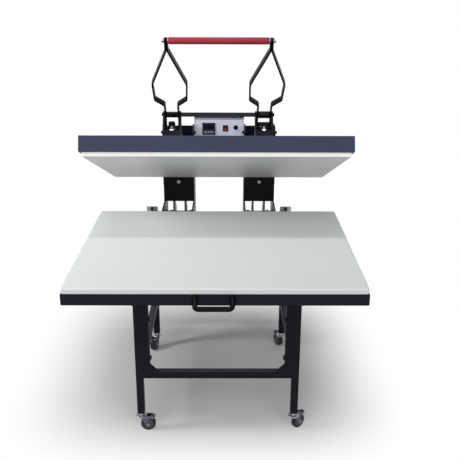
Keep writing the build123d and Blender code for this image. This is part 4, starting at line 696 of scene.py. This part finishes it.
# Cover: rubber rings where the posts come out, low screws along its top edges
COVER_TOP, POST_R = 0.077, 0.026
COVER_X, COVER_BACK, COVER_SCREW = 0.49, 0.39, (0.0045, 0.0022)
RING = [(POST_R + 0.0004, 0), (0.031, 0), (0.0318, 0.001), (0.0305, 0.0028), (0.028, 0.0034),
        (POST_R + 0.0004, 0.003)]
rings = [lathe(RING, on_head(sign * UNIT_X, 0, COVER_TOP), RIGHT, HEAD_UP, 48, True)
         for sign in (-1, 1)]
piece("post_rings", joined(*rings), TYRE_RUBBER, "head")
places = [(x * COVER_X, back) for x in (-1, -0.5, 0, 0.5, 1) for back in (-COVER_BACK, COVER_BACK)]
places += [(-COVER_X, 0), (COVER_X, 0)]
screws = [button_screw(on_head(x, back, COVER_TOP), HEAD_UP, *COVER_SCREW) for x, back in places]
piece("cover_screws", joined(*screws), GLOSS_COAT, "head")

# Bolts of the stand, the stop bars, the pivots and the uprights. Each size gives the width across
# flats, the height with its washer, the washer's radius and the shank's
LEG_BOLT = (0.0172, 0.007, 0.0105, 0.005)
STOP_BOLT = (0.0129, 0.006, 0.0085, 0.005)
EAR_BOLT = (0.0146, 0.006, 0.0095, LEVER_PIN_R)
SPACER_BOLT = (0.0138, 0.009, 0.0115, 0.006)
STUD_BOLT = (0.0172, 0.008, 0.0115, 0.005)
FOOT_BOLT = (0.0172, 0.008, 0.012, 0.005)
JOIN_UPS, JOIN_IN, LEG_X, LEG_BACKS = (-0.543, -0.365), 0.28, 0.325, (-0.297, 0.42)
STOP_FACE = 0.45105
SPACER = (0.502, 0.234)
STRUT_BACK, STUD_UP = 0.58369, 0.18
ANCHOR = np.array(joints["link_swing"]["pos_m"])
AXLE = [(0.0125, -UNIT_HALF), (0.0125, -0.001), (0.0115, 0), (0.004, 0), (0.003, -0.0015)]
SLEEVE_END = [(0.0126, -0.0285), (0.018, -0.0285), (0.018, 0), (0.0126, 0)]
CHEEK_PIN = [(0.008, -CHEEK_HALF), (0.008, -0.0008), (0.0072, 0)]
bolts = [hex_bolt(at(sign * JOIN_IN, back, up), -sign * RIGHT, *LEG_BOLT, 0.03)
         for sign in (-1, 1) for back in LEG_BACKS for up in JOIN_UPS]
piece("leg_bolts", joined(*bolts), STAND_COAT, "stand", ("machine_bolts",))
bolts = [hex_bolt(at(sign * UNIT_X, STOP_FACE, 0), -BACK, *STOP_BOLT, 0.018) for sign in (-1, 1)]
piece("stop_bolts", joined(*bolts), ZINC, "stand")
ears = [hex_bolt(PIVOT + RIGHT * sign * (UNIT_X + ARM_OUT), sign * RIGHT, *EAR_BOLT, 2 * ARM_OUT)
        for sign in (-1, 1)]
piece("ear_bolts", joined(*ears), MACHINE_COAT, "arms", ("lever_pivot_bolts",))
pins = []
for sign in (-1, 1):
    middle = sign * UNIT_X
    for hand in (-1, 1):
        out = hand * RIGHT
        face = middle + hand * UNIT_HALF
        inner = at(middle + hand * SIDE_IN, HINGE_BACK, HINGE_UP)
        cheek = ANCHOR + RIGHT * (middle + hand * CHEEK_HALF)
        pins.append(hex_bolt(at(face, *SPACER), out, *SPACER_BOLT, UNIT_HALF))
        pins.append(hex_bolt(at(face, STRUT_BACK, STUD_UP), out, *STUD_BOLT, 0.0355))
        pins.append(lathe(AXLE, at(face, HINGE_BACK, HINGE_UP), UP, out))
        pins.append(lathe(SLEEVE_END, inner, UP, out, loop=True))
        pins.append(lathe(CHEEK_PIN, cheek, UP, out))
piece("upright_pin_set", joined(*pins), MACHINE_COAT, "stand", ("upright_pins",))
feet = [hex_bolt(at(sign * UNIT_X + x, 0.59, -0.2), UP, *FOOT_BOLT, 0.01)
        for sign in (-1, 1) for x in (-0.05, 0.05)]
piece("foot_bolts", joined(*feet), STAND_COAT, "stand")

# Spacer tubes
SPACER_R, SPACER_WALL = 0.033, 0.005
tube_wall = mirrored([(SPACER_R - SPACER_WALL, -SIDE_IN), (SPACER_R - 0.0008, -SIDE_IN),
                      (SPACER_R, -SIDE_IN + 0.0008)])
tubes = [lathe(tube_wall, at(sign * UNIT_X, *SPACER), UP, RIGHT, 64, True) for sign in (-1, 1)]
piece("spacer_sleeves", joined(*tubes), MATT_COAT, "stand", ("spacer_tubes",))

# Gas struts: rolled cylinder with its top eye, polished rod with its lower eye
STRUT_XS = [sign * UNIT_X + hand * 0.05325 for sign in (-1, 1) for hand in (-1, 1)]
TAIL_Z, TOP_EYE_BORE, LOW_EYE_BORE = 0.8344, 0.0051, 0.0062
CYLINDER = [(0.0055, 0.02), (0.0085, 0.0202), (0.0105, 0.0215), (0.011, 0.024), (0.011, 0.162),
            (0.0105, 0.165), (0.0085, 0.1675), (0.006, 0.168), (0.006, 0.172)]
ROD = [(0.005, 0.011), (0.0068, 0.0112), (0.0068, 0.015), (0.0049, 0.0152), (0.0049, 0.1)]


def strut_eye(bore, spot):
    """Eye at the end of a strut, its bore across the machine."""
    half = [(bore, -0.00975), (0.0112, -0.00975), (0.012, -0.009)]
    return lathe(mirrored(half), spot, UP, RIGHT, loop=True)


cylinders, rods = [], []
for x in STRUT_XS:
    cylinders.append(lathe(CYLINDER, at(x, STRUT_BACK, 0)))
    cylinders.append(strut_eye(TOP_EYE_BORE, at(x, STRUT_BACK, STUD_UP)))
    low_eye = at(x, STRUT_BACK, 0) * [1, 1, 0] + UP * TAIL_Z
    rods.append(lathe(ROD, low_eye))
    rods.append(strut_eye(LOW_EYE_BORE, low_eye))
piece("strut_barrels", joined(*cylinders), GLOSS_COAT, "stand", ("strut_cylinders",))
piece("strut_plungers", joined(*rods), CHROME, "strut_rods", ("strut_rods",))

# Pull handle
HANDLE_X, HANDLE_W, HANDLE_R, HANDLE_REACH = -0.0045, 0.1215, 0.0088, 0.048
HANDLE_UP, HANDLE_BEND_R, HANDLE_DROOP, DRAWER_FRONT = -0.033, 0.013, radians(28), -0.8
BOW_START, BOW_HALF = 0.0042, HANDLE_W / 2
FLANGE = [(0.0112, 0), (0.0112, 0.0045), (0.0106, 0.0062), (0.009, 0.0076)]
out_way = np.array([0, -cos(HANDLE_DROOP), -sin(HANDLE_DROOP)])
bow_out = (HANDLE_REACH - HANDLE_R) / cos(HANDLE_DROOP)
bow_corners = [(-BOW_HALF, BOW_START), (-BOW_HALF, bow_out), (BOW_HALF, bow_out),
               (BOW_HALF, BOW_START)]
bow = rounded(bow_corners, HANDLE_BEND_R, 10)
bow_path = at(HANDLE_X, DRAWER_FRONT, HANDLE_UP) + RIGHT * bow[:, :1] + out_way * bow[:, 1:]
shapes = [swept(bow_path, circle(HANDLE_R, 24), np.cross(RIGHT, out_way))]
shapes += [lathe(FLANGE, at(HANDLE_X + side, DRAWER_FRONT, HANDLE_UP), RIGHT, -BACK)
           for side in (-BOW_HALF, BOW_HALF)]
piece("pull_handle", joined(*shapes), GLOSS_BLACK, "drawer", ("drawer_handle",))

# Rail stops: bent brackets with rubber buffers, and the carriages with their end seals
RAIL_X, BASE_TOP, STOP_TOP, BUFFER_UP = 0.325, -0.145, -0.11, -0.119
STOP_FACES = (-0.3973, 0.3973)
BRACKET_T, BRACKET_RUN, BRACKET_W, BRACKET_H = 0.004, 0.038, 0.054, STOP_TOP - BASE_TOP
BRACKET = np.concatenate([
    rounded([(BRACKET_RUN, 0), (0, 0), (0, BRACKET_H)], 0.005),
    rounded([(BRACKET_T, BRACKET_H), (BRACKET_T, BRACKET_T), (BRACKET_RUN, BRACKET_T)], 0.002)])
BUFFER = [(0.008, 0), (0.008, 0.007), (0.0075, 0.0096), (0.0062, 0.0114), (0.0038, 0.012)]
brackets, buffers = [], []
for sign in (-1, 1):
    for end, face in zip((-1, 1), STOP_FACES):
        start = at(sign * RAIL_X - end * BRACKET_W / 2, face, BASE_TOP)
        screw = at(sign * RAIL_X, face + end * 0.022, BASE_TOP + BRACKET_T)
        nose = at(sign * RAIL_X, face, BUFFER_UP)
        brackets.append(placed(plate(BRACKET, [], BRACKET_W), start, end * BACK, end * RIGHT))
        brackets.append(button_screw(screw, UP, 0.0065, 0.003))
        buffers.append(lathe(BUFFER, nose, UP, -end * BACK, 32))
piece("rail_stop_brackets", joined(*brackets), ZINC, "stand", ("rail_end_stops",))
piece("rail_stop_buffers", joined(*buffers), TYRE_RUBBER, "stand")

CARRIAGE_BACKS, CARRIAGE_LEN, SEAL_T, SEAL_SHARE = (-0.35, -0.05), 0.07, 0.003, (0.97, 0.998)
SADDLE = np.array([(-0.022, -0.138), (-0.0205, -0.14), (-0.0103, -0.14), (-0.0103, -0.1277),
                   (0.0103, -0.1277), (0.0103, -0.14), (0.0205, -0.14), (0.022, -0.138),
                   (0.022, -0.103), (0.0195, -0.1), (-0.0195, -0.1), (-0.022, -0.103)])
saddles, seals = [], []
for sign in (-1, 1):
    for back in CARRIAGE_BACKS:
        front = back + CARRIAGE_LEN / 2
        saddle = plate(SADDLE, [], CARRIAGE_LEN - 2 * SEAL_T)
        saddles.append(placed(saddle, at(sign * RAIL_X, front - SEAL_T, 0), RIGHT, -BACK))
        for start in (front, front - CARRIAGE_LEN + SEAL_T):
            seal = plate(SADDLE * SEAL_SHARE, [], SEAL_T, 0.0004)
            seals.append(placed(seal, at(sign * RAIL_X, start, 0), RIGHT, -BACK))
piece("carriage_blocks", joined(*saddles), BRIGHT_STEEL, "drawer", ("rail_carriages",))
piece("carriage_seals", joined(*seals), BLACK_PLASTIC, "drawer")


def plugs(*tubes):
    """Low rounded caps at the tubes' ends on both sides: distance aside, places along the back,
    up, whether the tubes run to the back, width and height."""
    caps = []
    for x, backs, up, runs_back, width, height in tubes:
        cap = block(width - 0.001, height - 0.001, 0.0024, 0.003, 0.0012)
        for sign in (-1, 1):
            for end, back in zip((-1, 1, 1), backs):
                out = end * BACK if runs_back else sign * RIGHT
                start = at(sign * x, back, up) - out * 0.0002
                caps.append(placed(cap, start, np.cross(UP, out), out))
    return joined(*caps)


# Black plugs in the open ends of the tubes
caps = plugs((LEG_X, (-0.36, 0.61), -0.26, True, 0.03, 0.03),
             (RAIL_X, (-0.44, 0.44), -0.175, True, 0.04, 0.06),
             (0.345, (-0.34, 0.29, 0.59), -0.225, False, 0.04, 0.04))
piece("stand_plugs", caps, BLACK_PLASTIC, "stand")
caps = plugs((0.5, (-0.78, -0.02), -0.04, False, 0.04, 0.04),
             (RAIL_X, (-0.39, 0.0), -0.08, True, 0.04, 0.04))
piece("drawer_plugs", caps, BLACK_PLASTIC, "drawer")

# Weld beads: round the legs under the top rail, at the ends of the lower beams, along the base's
# tubes, inside the drawer's frame, and up and along the uprights
LEG_IN, LEG_W, LEG_HALF = 0.31, 0.03, 0.015
TOP_RAIL_LOW, BEAM_LOW, BEAM_TOP, BASE_LOW, RUNNER_LOW = -0.275, -0.632, -0.603, -0.205, -0.059
ALONG_LEG, UP_BEAM = (0, 0.028, 0), (0, 0, 0.028)
BASE_EDGES = [tube + side * 0.02 for tube in (-0.34, 0.29) for side in (-1, 1)]
RUNNER_EDGES = [beam + side * 0.02 for beam in (-0.6, -0.4, -0.2) for side in (-1, 1)]


def bead(sign, x, back, up, run, normal):
    """Weld bead on one side of the machine, from a place by a run outwards, back or up."""
    start = at(sign * x, back, up)
    return weld_bead(start, start + np.array(run) * [sign, 1, 1], normal)


beads, drawer_beads = [], []
for sign in (-1, 1):
    for leg in LEG_BACKS:
        inward = LEG_HALF if leg < 0 else -LEG_HALF
        faces = (LEG_IN, LEG_IN + LEG_W)
        for edge in (leg - LEG_HALF, leg + LEG_HALF):
            beads.append(bead(sign, LEG_IN, edge, TOP_RAIL_LOW, (LEG_W, 0, 0), BACK + UP))
        for x in faces:
            beads.append(bead(sign, x, leg - 0.014, TOP_RAIL_LOW, ALONG_LEG, RIGHT + UP))
        for x in faces:
            beads.append(bead(sign, x, leg + inward, BEAM_LOW, UP_BEAM, RIGHT + BACK))
        beads.append(bead(sign, LEG_IN, leg + inward, BEAM_TOP, (LEG_W, 0, 0), BACK + UP))
        beads.append(bead(sign, JOIN_IN, leg - inward, BEAM_LOW, UP_BEAM, RIGHT + BACK))
        beads.append(bead(sign, JOIN_IN, leg - 0.014, BEAM_TOP, ALONG_LEG, RIGHT + UP))
    for edge in BASE_EDGES:
        beads.append(bead(sign, 0.306, edge, BASE_LOW, (0.038, 0, 0), BACK + UP))
    for edge in (-0.76, -0.04, *RUNNER_EDGES):
        drawer_beads.append(bead(sign, 0.46, edge, RUNNER_LOW, (0, 0, 0.034), RIGHT + BACK))
    for hand in (-1, 1):
        face = sign * UNIT_X + hand * SIDE_IN
        outer = sign * UNIT_X + hand * UNIT_HALF
        beads.append(bead(1, face, 0.464, -0.099, (0, 0, 0.079), RIGHT + BACK))
        beads.append(bead(1, outer, 0.272, BASE_LOW, (0, 0.037, 0), RIGHT + UP))
        beads.append(bead(1, outer, 0.572, BASE_LOW, (0, 0.036, 0), RIGHT + UP))
piece("stand_welds", joined(*beads), STAND_COAT, "stand", sharp=60)
piece("drawer_welds", joined(*drawer_beads), FRAME_COAT, "drawer", sharp=60)

# Control box: folded sheet, base with the cord's hole, side plates, rear cover with air slots
BOX_HALF, BOX_FRONT, BOX_REAR, BOX_LOW, BOX_HIGH = 0.1214, 0.544, 0.644, 0.195, 0.295
PANEL_BEVEL, GLAND_X, GLAND_BACK, SHEET = 0.008, 0.06, 0.626, 0.0018
REAR_SKIN, BOX_MID, HALF = BOX_REAR - 0.0016, (BOX_LOW + BOX_HIGH) / 2, BOX_HALF - SHEET
BEVEL_BACK, BEVEL_LOW = BOX_FRONT + PANEL_BEVEL, BOX_HIGH - PANEL_BEVEL
fold = rounded([(REAR_SKIN, BOX_LOW + SHEET), (REAR_SKIN, BOX_HIGH), (BEVEL_BACK, BOX_HIGH),
                (BOX_FRONT + 0.0002, BEVEL_LOW)], (0.003, 0.0012))
unfold = rounded([(BOX_FRONT + 0.0015, BEVEL_LOW - 0.0013), (BEVEL_BACK + 0.0007, BOX_HIGH - SHEET),
                  (REAR_SKIN - SHEET, BOX_HIGH - SHEET), (REAR_SKIN - SHEET, BOX_LOW + SHEET)],
                 (0.0006, 0.0012))
hood = plate(np.concatenate([fold, unfold]), [], 2 * HALF, 0.0002)
shapes = [placed(hood, at(-HALF, 0, 0), BACK, RIGHT)]
side_outline = rounded([(BOX_FRONT, BOX_LOW + 0.01), (BOX_FRONT, BOX_LOW), (REAR_SKIN, BOX_LOW),
                        (REAR_SKIN, BOX_HIGH), (BEVEL_BACK, BOX_HIGH), (BOX_FRONT, BEVEL_LOW),
                        (BOX_FRONT, BOX_LOW + 0.01)], (0.001, 0.001, 0.003, 0.001, 0.001))[:-1]
for start in (-BOX_HALF, HALF):
    shapes.append(placed(plate(side_outline, [], SHEET, 0.0003), at(start, 0, 0), BACK, RIGHT))
floor_half = (REAR_SKIN - BOX_FRONT) / 2
cord_hole = circle(0.0061) + [GLAND_X, GLAND_BACK - BOX_FRONT - floor_half]
base = plate(box_outline(2 * HALF, 2 * floor_half, 0.001), [cord_hole], SHEET, 0.0002)
shapes.append(placed(base, at(0, BOX_FRONT + floor_half, BOX_LOW)))
vents = [box_outline(0.004, 0.052, 0.0019) + [0.011 * step, 0.006] for step in range(-8, 9)]
cover_plate = plate(box_outline(2 * BOX_HALF - 0.008, 0.09, 0.004), vents, 0.0011, 0.0002)
shapes.append(placed(cover_plate, at(0, REAR_SKIN, BOX_MID), RIGHT, BACK))
piece("control_shell", joined(*shapes), MATT_COAT, "stand", ("control_box",))
fixings = [button_screw(at(x, REAR_SKIN + 0.0009, BOX_MID + up), BACK, 0.003, 0.0006)
           for x in (-0.111, 0.111) for up in (-0.039, 0.039)]
fixings += [button_screw(at(x, BOX_FRONT - 0.002, up), -BACK, 0.003, 0.0014)
            for x in (-0.114, 0.114) for up in (0.203, 0.279)]
piece("control_screws", joined(*fixings), ZINC, "stand")

GLAND_NUT, GLAND_OUT, CORD_R = 0.006, 0.014, 0.004
BARREL = [(CORD_R, GLAND_NUT), (0.009, GLAND_NUT), (0.009, GLAND_OUT - 0.0038),
          (0.0084, GLAND_OUT - 0.0016), (0.0068, GLAND_OUT - 0.0002), (0.005, GLAND_OUT),
          (CORD_R, GLAND_OUT - 0.0006)]
GLAND_STEM = [(CORD_R, -0.0074), (0.0059, -0.0074), (0.0059, 0), (CORD_R, 0)]
gland_parts = [plate(arc(0.0118, 0, 300, steps=6), [circle(CORD_R)], GLAND_NUT, 0.0005),
               turned(BARREL, loop=True), turned(GLAND_STEM, loop=True)]
gland = placed(joined(*gland_parts), at(GLAND_X, GLAND_BACK, BOX_LOW), RIGHT, -UP)
piece("cord_gland", gland, BLACK_PLASTIC, "stand", ("power_gland",))

# Darker strip laid along the panel's bevel as painted shade, key strip, rocker with its marks, and
# round button
PANEL_FACE, CONTROLLER_X, CONTROLLER_UP, BEZEL_T = BOX_FRONT - 0.002, -0.05, 0.244, 0.004
KEY_W, KEY_H, KEY_PITCH, KEY_DROP = 0.011, 0.007, 0.016, 0.017
# Painted shade: a thin dark sheet on the bevel, which darkens it as if it lay in shade
strip = block(2 * BOX_HALF - 0.0006, 0.0098, 0.0004, 0.0006, 0.0001)
piece("bevel_strip", placed(strip, at(0, 0.54556, 0.29144), RIGHT, UP - BACK), BEVEL_SHADE, "stand")
windows = [box_outline(KEY_W + 0.0003, KEY_H + 0.0003, 0.0005) + [way * KEY_PITCH, 0]
           for way in (-1, 0, 1)]
strip = plate(box_outline(0.054, 0.0125, 0.0015), windows, 0.0005, 0.0001)
strip_at = at(CONTROLLER_X, PANEL_FACE - BEZEL_T + 0.0001, CONTROLLER_UP - KEY_DROP)
piece("key_strip", placed(strip, strip_at, RIGHT, -BACK), STRIP_GREY, "stand")

ROCKER = np.array(joints["rocker_flip"]["pos_m"])
ROCKER_TILT, ROCKER_HALF_W, MARK_RISE, MARK_T = radians(8), 0.0092, 0.0052, 0.0004
tilt_back = np.array([0, cos(ROCKER_TILT), -sin(ROCKER_TILT)])
tilt_up = np.array([0, sin(ROCKER_TILT), cos(ROCKER_TILT)])
rise = np.linspace(-1, 1, 13)
front_face = np.stack([-0.0062 - 0.0018 * rise ** 2, rise * 0.0094], -1)
rear_face = [(-0.0072, 0.0101), (0.001, 0.0052), (0.001, -0.0052), (-0.0072, -0.0101)]
cap = plate(np.concatenate([front_face, rear_face])[::-1], [], 2 * ROCKER_HALF_W, 0.0006)
cap = placed(cap, ROCKER - RIGHT * ROCKER_HALF_W, tilt_back, RIGHT)
trunnion = lathe([(0.0015, -0.011), (0.0015, 0.011)], ROCKER, UP, RIGHT, 16)
piece("rocker_cap", joined(cap, trunnion), ROCKER_RED, "rocker", ("rocker_switch",))
mark_at = ROCKER - tilt_back * 0.0067
dash = block(0.0011, 0.0046, MARK_T, 0.0003, 0.0001)
dash = placed(dash, mark_at + tilt_up * MARK_RISE, RIGHT, -tilt_back)
ring = lathe([(0.0014, 0), (0.0022, 0), (0.0022, MARK_T), (0.0014, MARK_T)],
             mark_at - tilt_up * MARK_RISE, RIGHT, -tilt_back, 28, True)
piece("rocker_marks", joined(dash, ring), MARK_WHITE, "rocker")

BUTTON_X, BUTTON_UP, BUTTON_OUT = 0.0815, 0.25, 0.005
BUTTON = [(0.0077, -0.014), (0.0077, -0.0011), (0.0074, -0.0004), (0.0067, 0), (0.0058, 0),
          (0.0045, -0.0006), (0.0022, -0.001)]
button = lathe(BUTTON, at(BUTTON_X, PANEL_FACE - BUTTON_OUT, BUTTON_UP), UP, -BACK)
piece("button_cap", button, GLOSS_BLACK, "button", ("push_button",))

# Casters: how far each is swivelled in degrees, then sizes from the stem's axis on the floor
CASTER_TURNS = {"front_left": 0, "front_right": 40, "rear_left": -115, "rear_right": 120}
CASTER_BACKS = dict(zip(("front", "rear"), LEG_BACKS))
WHEEL_R, TRAIL, FORK_IN, FORK_T = 0.0315, 0.028, 0.0115, 0.0025
PEDAL_AHEAD, PEDAL_UP, PEDAL_W = 0.047, 0.064, 0.019
TYRE = mirrored([(0.020, -0.0092), (0.0285, -0.0100), (0.0308, -0.0084), (0.0315, -0.005),
                 (0.0315, -0.0022), (0.0309, -0.0014)])
HUB = mirrored([(0.0046, -0.0112), (0.0085, -0.0112), (0.0094, -0.0102), (0.0102, -0.0075),
                (0.0182, -0.007), (0.0202, -0.0101), (0.0219, -0.0101)])
CROWN = [(0.0068, 0.068), (0.0232, 0.068), (0.024, 0.0686), (0.024, 0.0706), (0.0226, 0.072),
         (0.0068, 0.072)]
CHEEK = np.concatenate([
    [(-0.008, 0.071), (-0.008, 0.0655)], arc(0.009, 212, 376, (TRAIL, WHEEL_R)),
    arc(0.011, 196, 112, (0.0395, 0.0475), 8), arc(0.005, -60, 70, (PEDAL_AHEAD, PEDAL_UP), 8),
    [(PEDAL_AHEAD, 0.071)]])
PEDAL = np.concatenate([
    arc(0.004, 130, 290, (PEDAL_AHEAD, PEDAL_UP), 10),
    [(0.0575, 0.0668), (0.058, 0.0685), (0.0578, 0.0712), (0.0562, 0.0719), (0.0545, 0.0705),
     (0.0475, 0.0682)]])
COLLAR = [(0.0062, 0.0723), (0.0115, 0.0723), (0.012, 0.073), (0.012, 0.0838), (0.0112, 0.085),
          (0.0062, 0.085)]
STEM = [(0.0092, 0.062), (0.01, 0.0628), (0.01, 0.0668), (0.0092, 0.0677), (0.006, 0.0677),
        (0.006, 0.111)]
RIVET = [(0.0028, 0), (0.0026, 0.0008), (0.0016, 0.0014)]
stems = []
for corner in CORNERS:
    end, hand = corner.split("_")
    turn = radians(CASTER_TURNS[corner])
    ahead = np.array([cos(turn), sin(turn), 0])
    aside = np.array([-sin(turn), cos(turn), 0])
    foot = at(SIDES[hand] * LEG_X, CASTER_BACKS[end], 0) * [1, 1, 0]
    axle = foot + ahead * TRAIL + UP * WHEEL_R
    pedal_pin = foot + ahead * PEDAL_AHEAD + UP * PEDAL_UP
    fork = [lathe(CROWN, foot, loop=True)]
    cheeks = []
    for side in (-1, 1):
        start = foot + aside * (side * FORK_IN + (0 if side < 0 else FORK_T))
        cheeks.append(placed(plate(CHEEK, [], FORK_T, 0.0004), start, ahead, -aside))
        outside = aside * side * (FORK_IN + FORK_T)
        fork.append(placed(hex_head(0.0118, 0.0038), axle + outside, ahead, aside * side))
        fork.append(lathe(RIVET, pedal_pin + outside, UP, aside * side, 16))
    fork.append(lathe([(0.004, -0.0145), (0.004, 0.0145)], axle, UP, aside, 20))
    tyre = lathe(TYRE, axle, UP, aside, 56, True)
    hub = lathe(HUB, axle, UP, aside, 56, True)
    pedal = placed(plate(PEDAL, [], PEDAL_W, 0.0006), foot + aside * PEDAL_W / 2, ahead, -aside)
    piece(f"fork_{corner}", joined(*fork), ZINC, f"fork_{corner}", (f"caster_fork_{corner}",))
    piece(f"cheeks_{corner}", joined(*cheeks), FORK_GREY, f"fork_{corner}")
    piece(f"tyre_{corner}", tyre, TYRE_RUBBER, f"wheel_{corner}",
          (f"caster_wheel_{corner}",))
    piece(f"hub_{corner}", hub, HUB_GREY, f"wheel_{corner}")
    piece(f"pedal_{corner}", pedal, HUB_GREY, f"brake_{corner}",
          (f"caster_brake_{corner}",))
    stems += [lathe(COLLAR, foot, loop=True), lathe(STEM, foot)]
piece("caster_stem_set", joined(*stems), ZINC, "stand", ("caster_stems",))


# Stage: a pale grey paper floor that fades to a white glow away from the machine for the camera and for
# reflections, painted light that covers the object's shadow there; a dim even sky, a strip and a sheet
# of light above, a fill from the front, a window at the left, and the camera worked out from the
# photograph
FLOOR_REACH, FLOOR_GREY, SKY_STRENGTH, WHITE = 30.0, 0.66, 0.14, (1.0, 1.0, 1.0, 1.0)
SHADE_MIDDLE, SHADE_LEFT, SHADE_SQUEEZE, SHADE_BACK = 0.33, 0.06, 0.66, 0.8
SHADE_FULL, SHADE_NONE = 0.36, 0.84


def fourth_power(signal):
    return signal * signal * signal * signal


floor_mesh = bpy.data.meshes.new("floor")
floor_corners = [(x * FLOOR_REACH, y * FLOOR_REACH, 0) for x, y in ((-1, -1), (1, -1), (1, 1), (-1, 1))]
floor_mesh.from_pydata(floor_corners, [], [(0, 1, 2, 3)])
floor = bpy.data.objects.new("floor", floor_mesh)
bpy.context.scene.collection.objects.link(floor)

# The fade follows the fourth root of the sum of the fourth powers of the distances aside and ahead,
# so its edge is a rounded square. Beyond it the white glow is painted light over the floor's shadow
paper = Finish("floor_paper")
spot = paper.node("ShaderNodeSeparateXYZ", {}, {"Vector": paper.place})
ahead = spot.out("Y") - SHADE_MIDDLE
beside = spot.out("X") + SHADE_LEFT
ahead = ahead.maths("MINIMUM", ahead * SHADE_BACK)
away = (fourth_power(beside) * SHADE_SQUEEZE + fourth_power(ahead)) ** 0.25
fade = paper.node("ShaderNodeMapRange", {"interpolation_type": "SMOOTHSTEP"},
                  {"Value": away, "From Min": SHADE_FULL, "From Max": SHADE_NONE}).out("Result")
rays = paper.node("ShaderNodeLightPath")
seen = rays.out("Is Camera Ray").maths("MAXIMUM", rays.out("Is Glossy Ray"))
grey = (FLOOR_GREY, FLOOR_GREY, FLOOR_GREY, 1.0)
lit = paper.node("ShaderNodeBsdfDiffuse", {}, {"Color": grey}).out("BSDF")
white = paper.node("ShaderNodeEmission", {}, {"Color": WHITE, "Strength": 1.0}).out("Emission")
both = paper.node("ShaderNodeMixShader", {}, {"Fac": fade * seen, 1: lit, 2: white}).out()
paper.node("ShaderNodeOutputMaterial", {}, {"Surface": both})
floor_mesh.materials.append(paper.owner)

world = bpy.data.worlds.new("studio")
bpy.context.scene.world = world
air = Finish("studio", world)
rays = air.node("ShaderNodeLightPath")
seen = rays.out("Is Camera Ray").maths("MAXIMUM", rays.out("Is Glossy Ray"))
dim = air.node("ShaderNodeBackground", {}, {"Color": WHITE, "Strength": SKY_STRENGTH}).out()
bright = air.node("ShaderNodeBackground", {}, {"Color": WHITE, "Strength": 1.0}).out()
both = air.node("ShaderNodeMixShader", {}, {"Fac": seen, 1: dim, 2: bright}).out()
air.node("ShaderNodeOutputWorld", {}, {"Surface": both})


def lamp(name, kind, strength, place, target, **shape):
    """A lamp at a place that looks at a target; a sun only keeps the direction between the two."""
    light = bpy.data.lights.new(name, kind)
    light.energy = strength
    for key, value in shape.items():
        setattr(light, key, value)
    holder = bpy.data.objects.new(name, light)
    holder.location = place
    holder.rotation_euler = (Vector(target) - Vector(place)).to_track_quat("-Z", "Y").to_euler()
    bpy.context.scene.collection.objects.link(holder)


# The strip hangs right over the head's front edge, so that the head's shadow ends sharply on the pad
edge_line = on_head(0, -PLATEN_D / 2, PRESS_GAP)[1]
lamp("ceiling_strip", "AREA", 52.0, (-0.45, edge_line, 5.75), (-0.45, edge_line, 0),
     shape="RECTANGLE", size=3.2, size_y=0.2)
lamp("ceiling_sheet", "SUN", 0.2, (0.9, 0.2, 5), (0, 0, 0), angle=radians(60))
lamp("front_fill", "SUN", 2.05, (-0.1, -3, 1.6), (0, 0, 0), angle=radians(70))
lamp("window", "AREA", 44.0, (-2.6, -0.4, 2.4), (0, -0.2, 0.9),
     shape="RECTANGLE", size=0.6, size_y=1.5)

CAMERA_SPOT = (0.03569, -2.77117, 1.84178)
CAMERA_TURNS = ((-0.0057, "Z"), (radians(70.155), "X"), (0.0035, "Z"))
camera = bpy.data.cameras.new("camera")
camera.lens = 55.24
camera.sensor_width = 36.0
camera_holder = bpy.data.objects.new("camera", camera)
aim = Matrix.Translation(CAMERA_SPOT)
for angle, axis in CAMERA_TURNS:
    aim = aim @ Matrix.Rotation(angle, 4, axis)
camera_holder.matrix_world = aim
bpy.context.scene.collection.objects.link(camera_holder)
bpy.context.scene.camera = camera_holder
bpy.context.scene.view_settings.view_transform = "Standard"
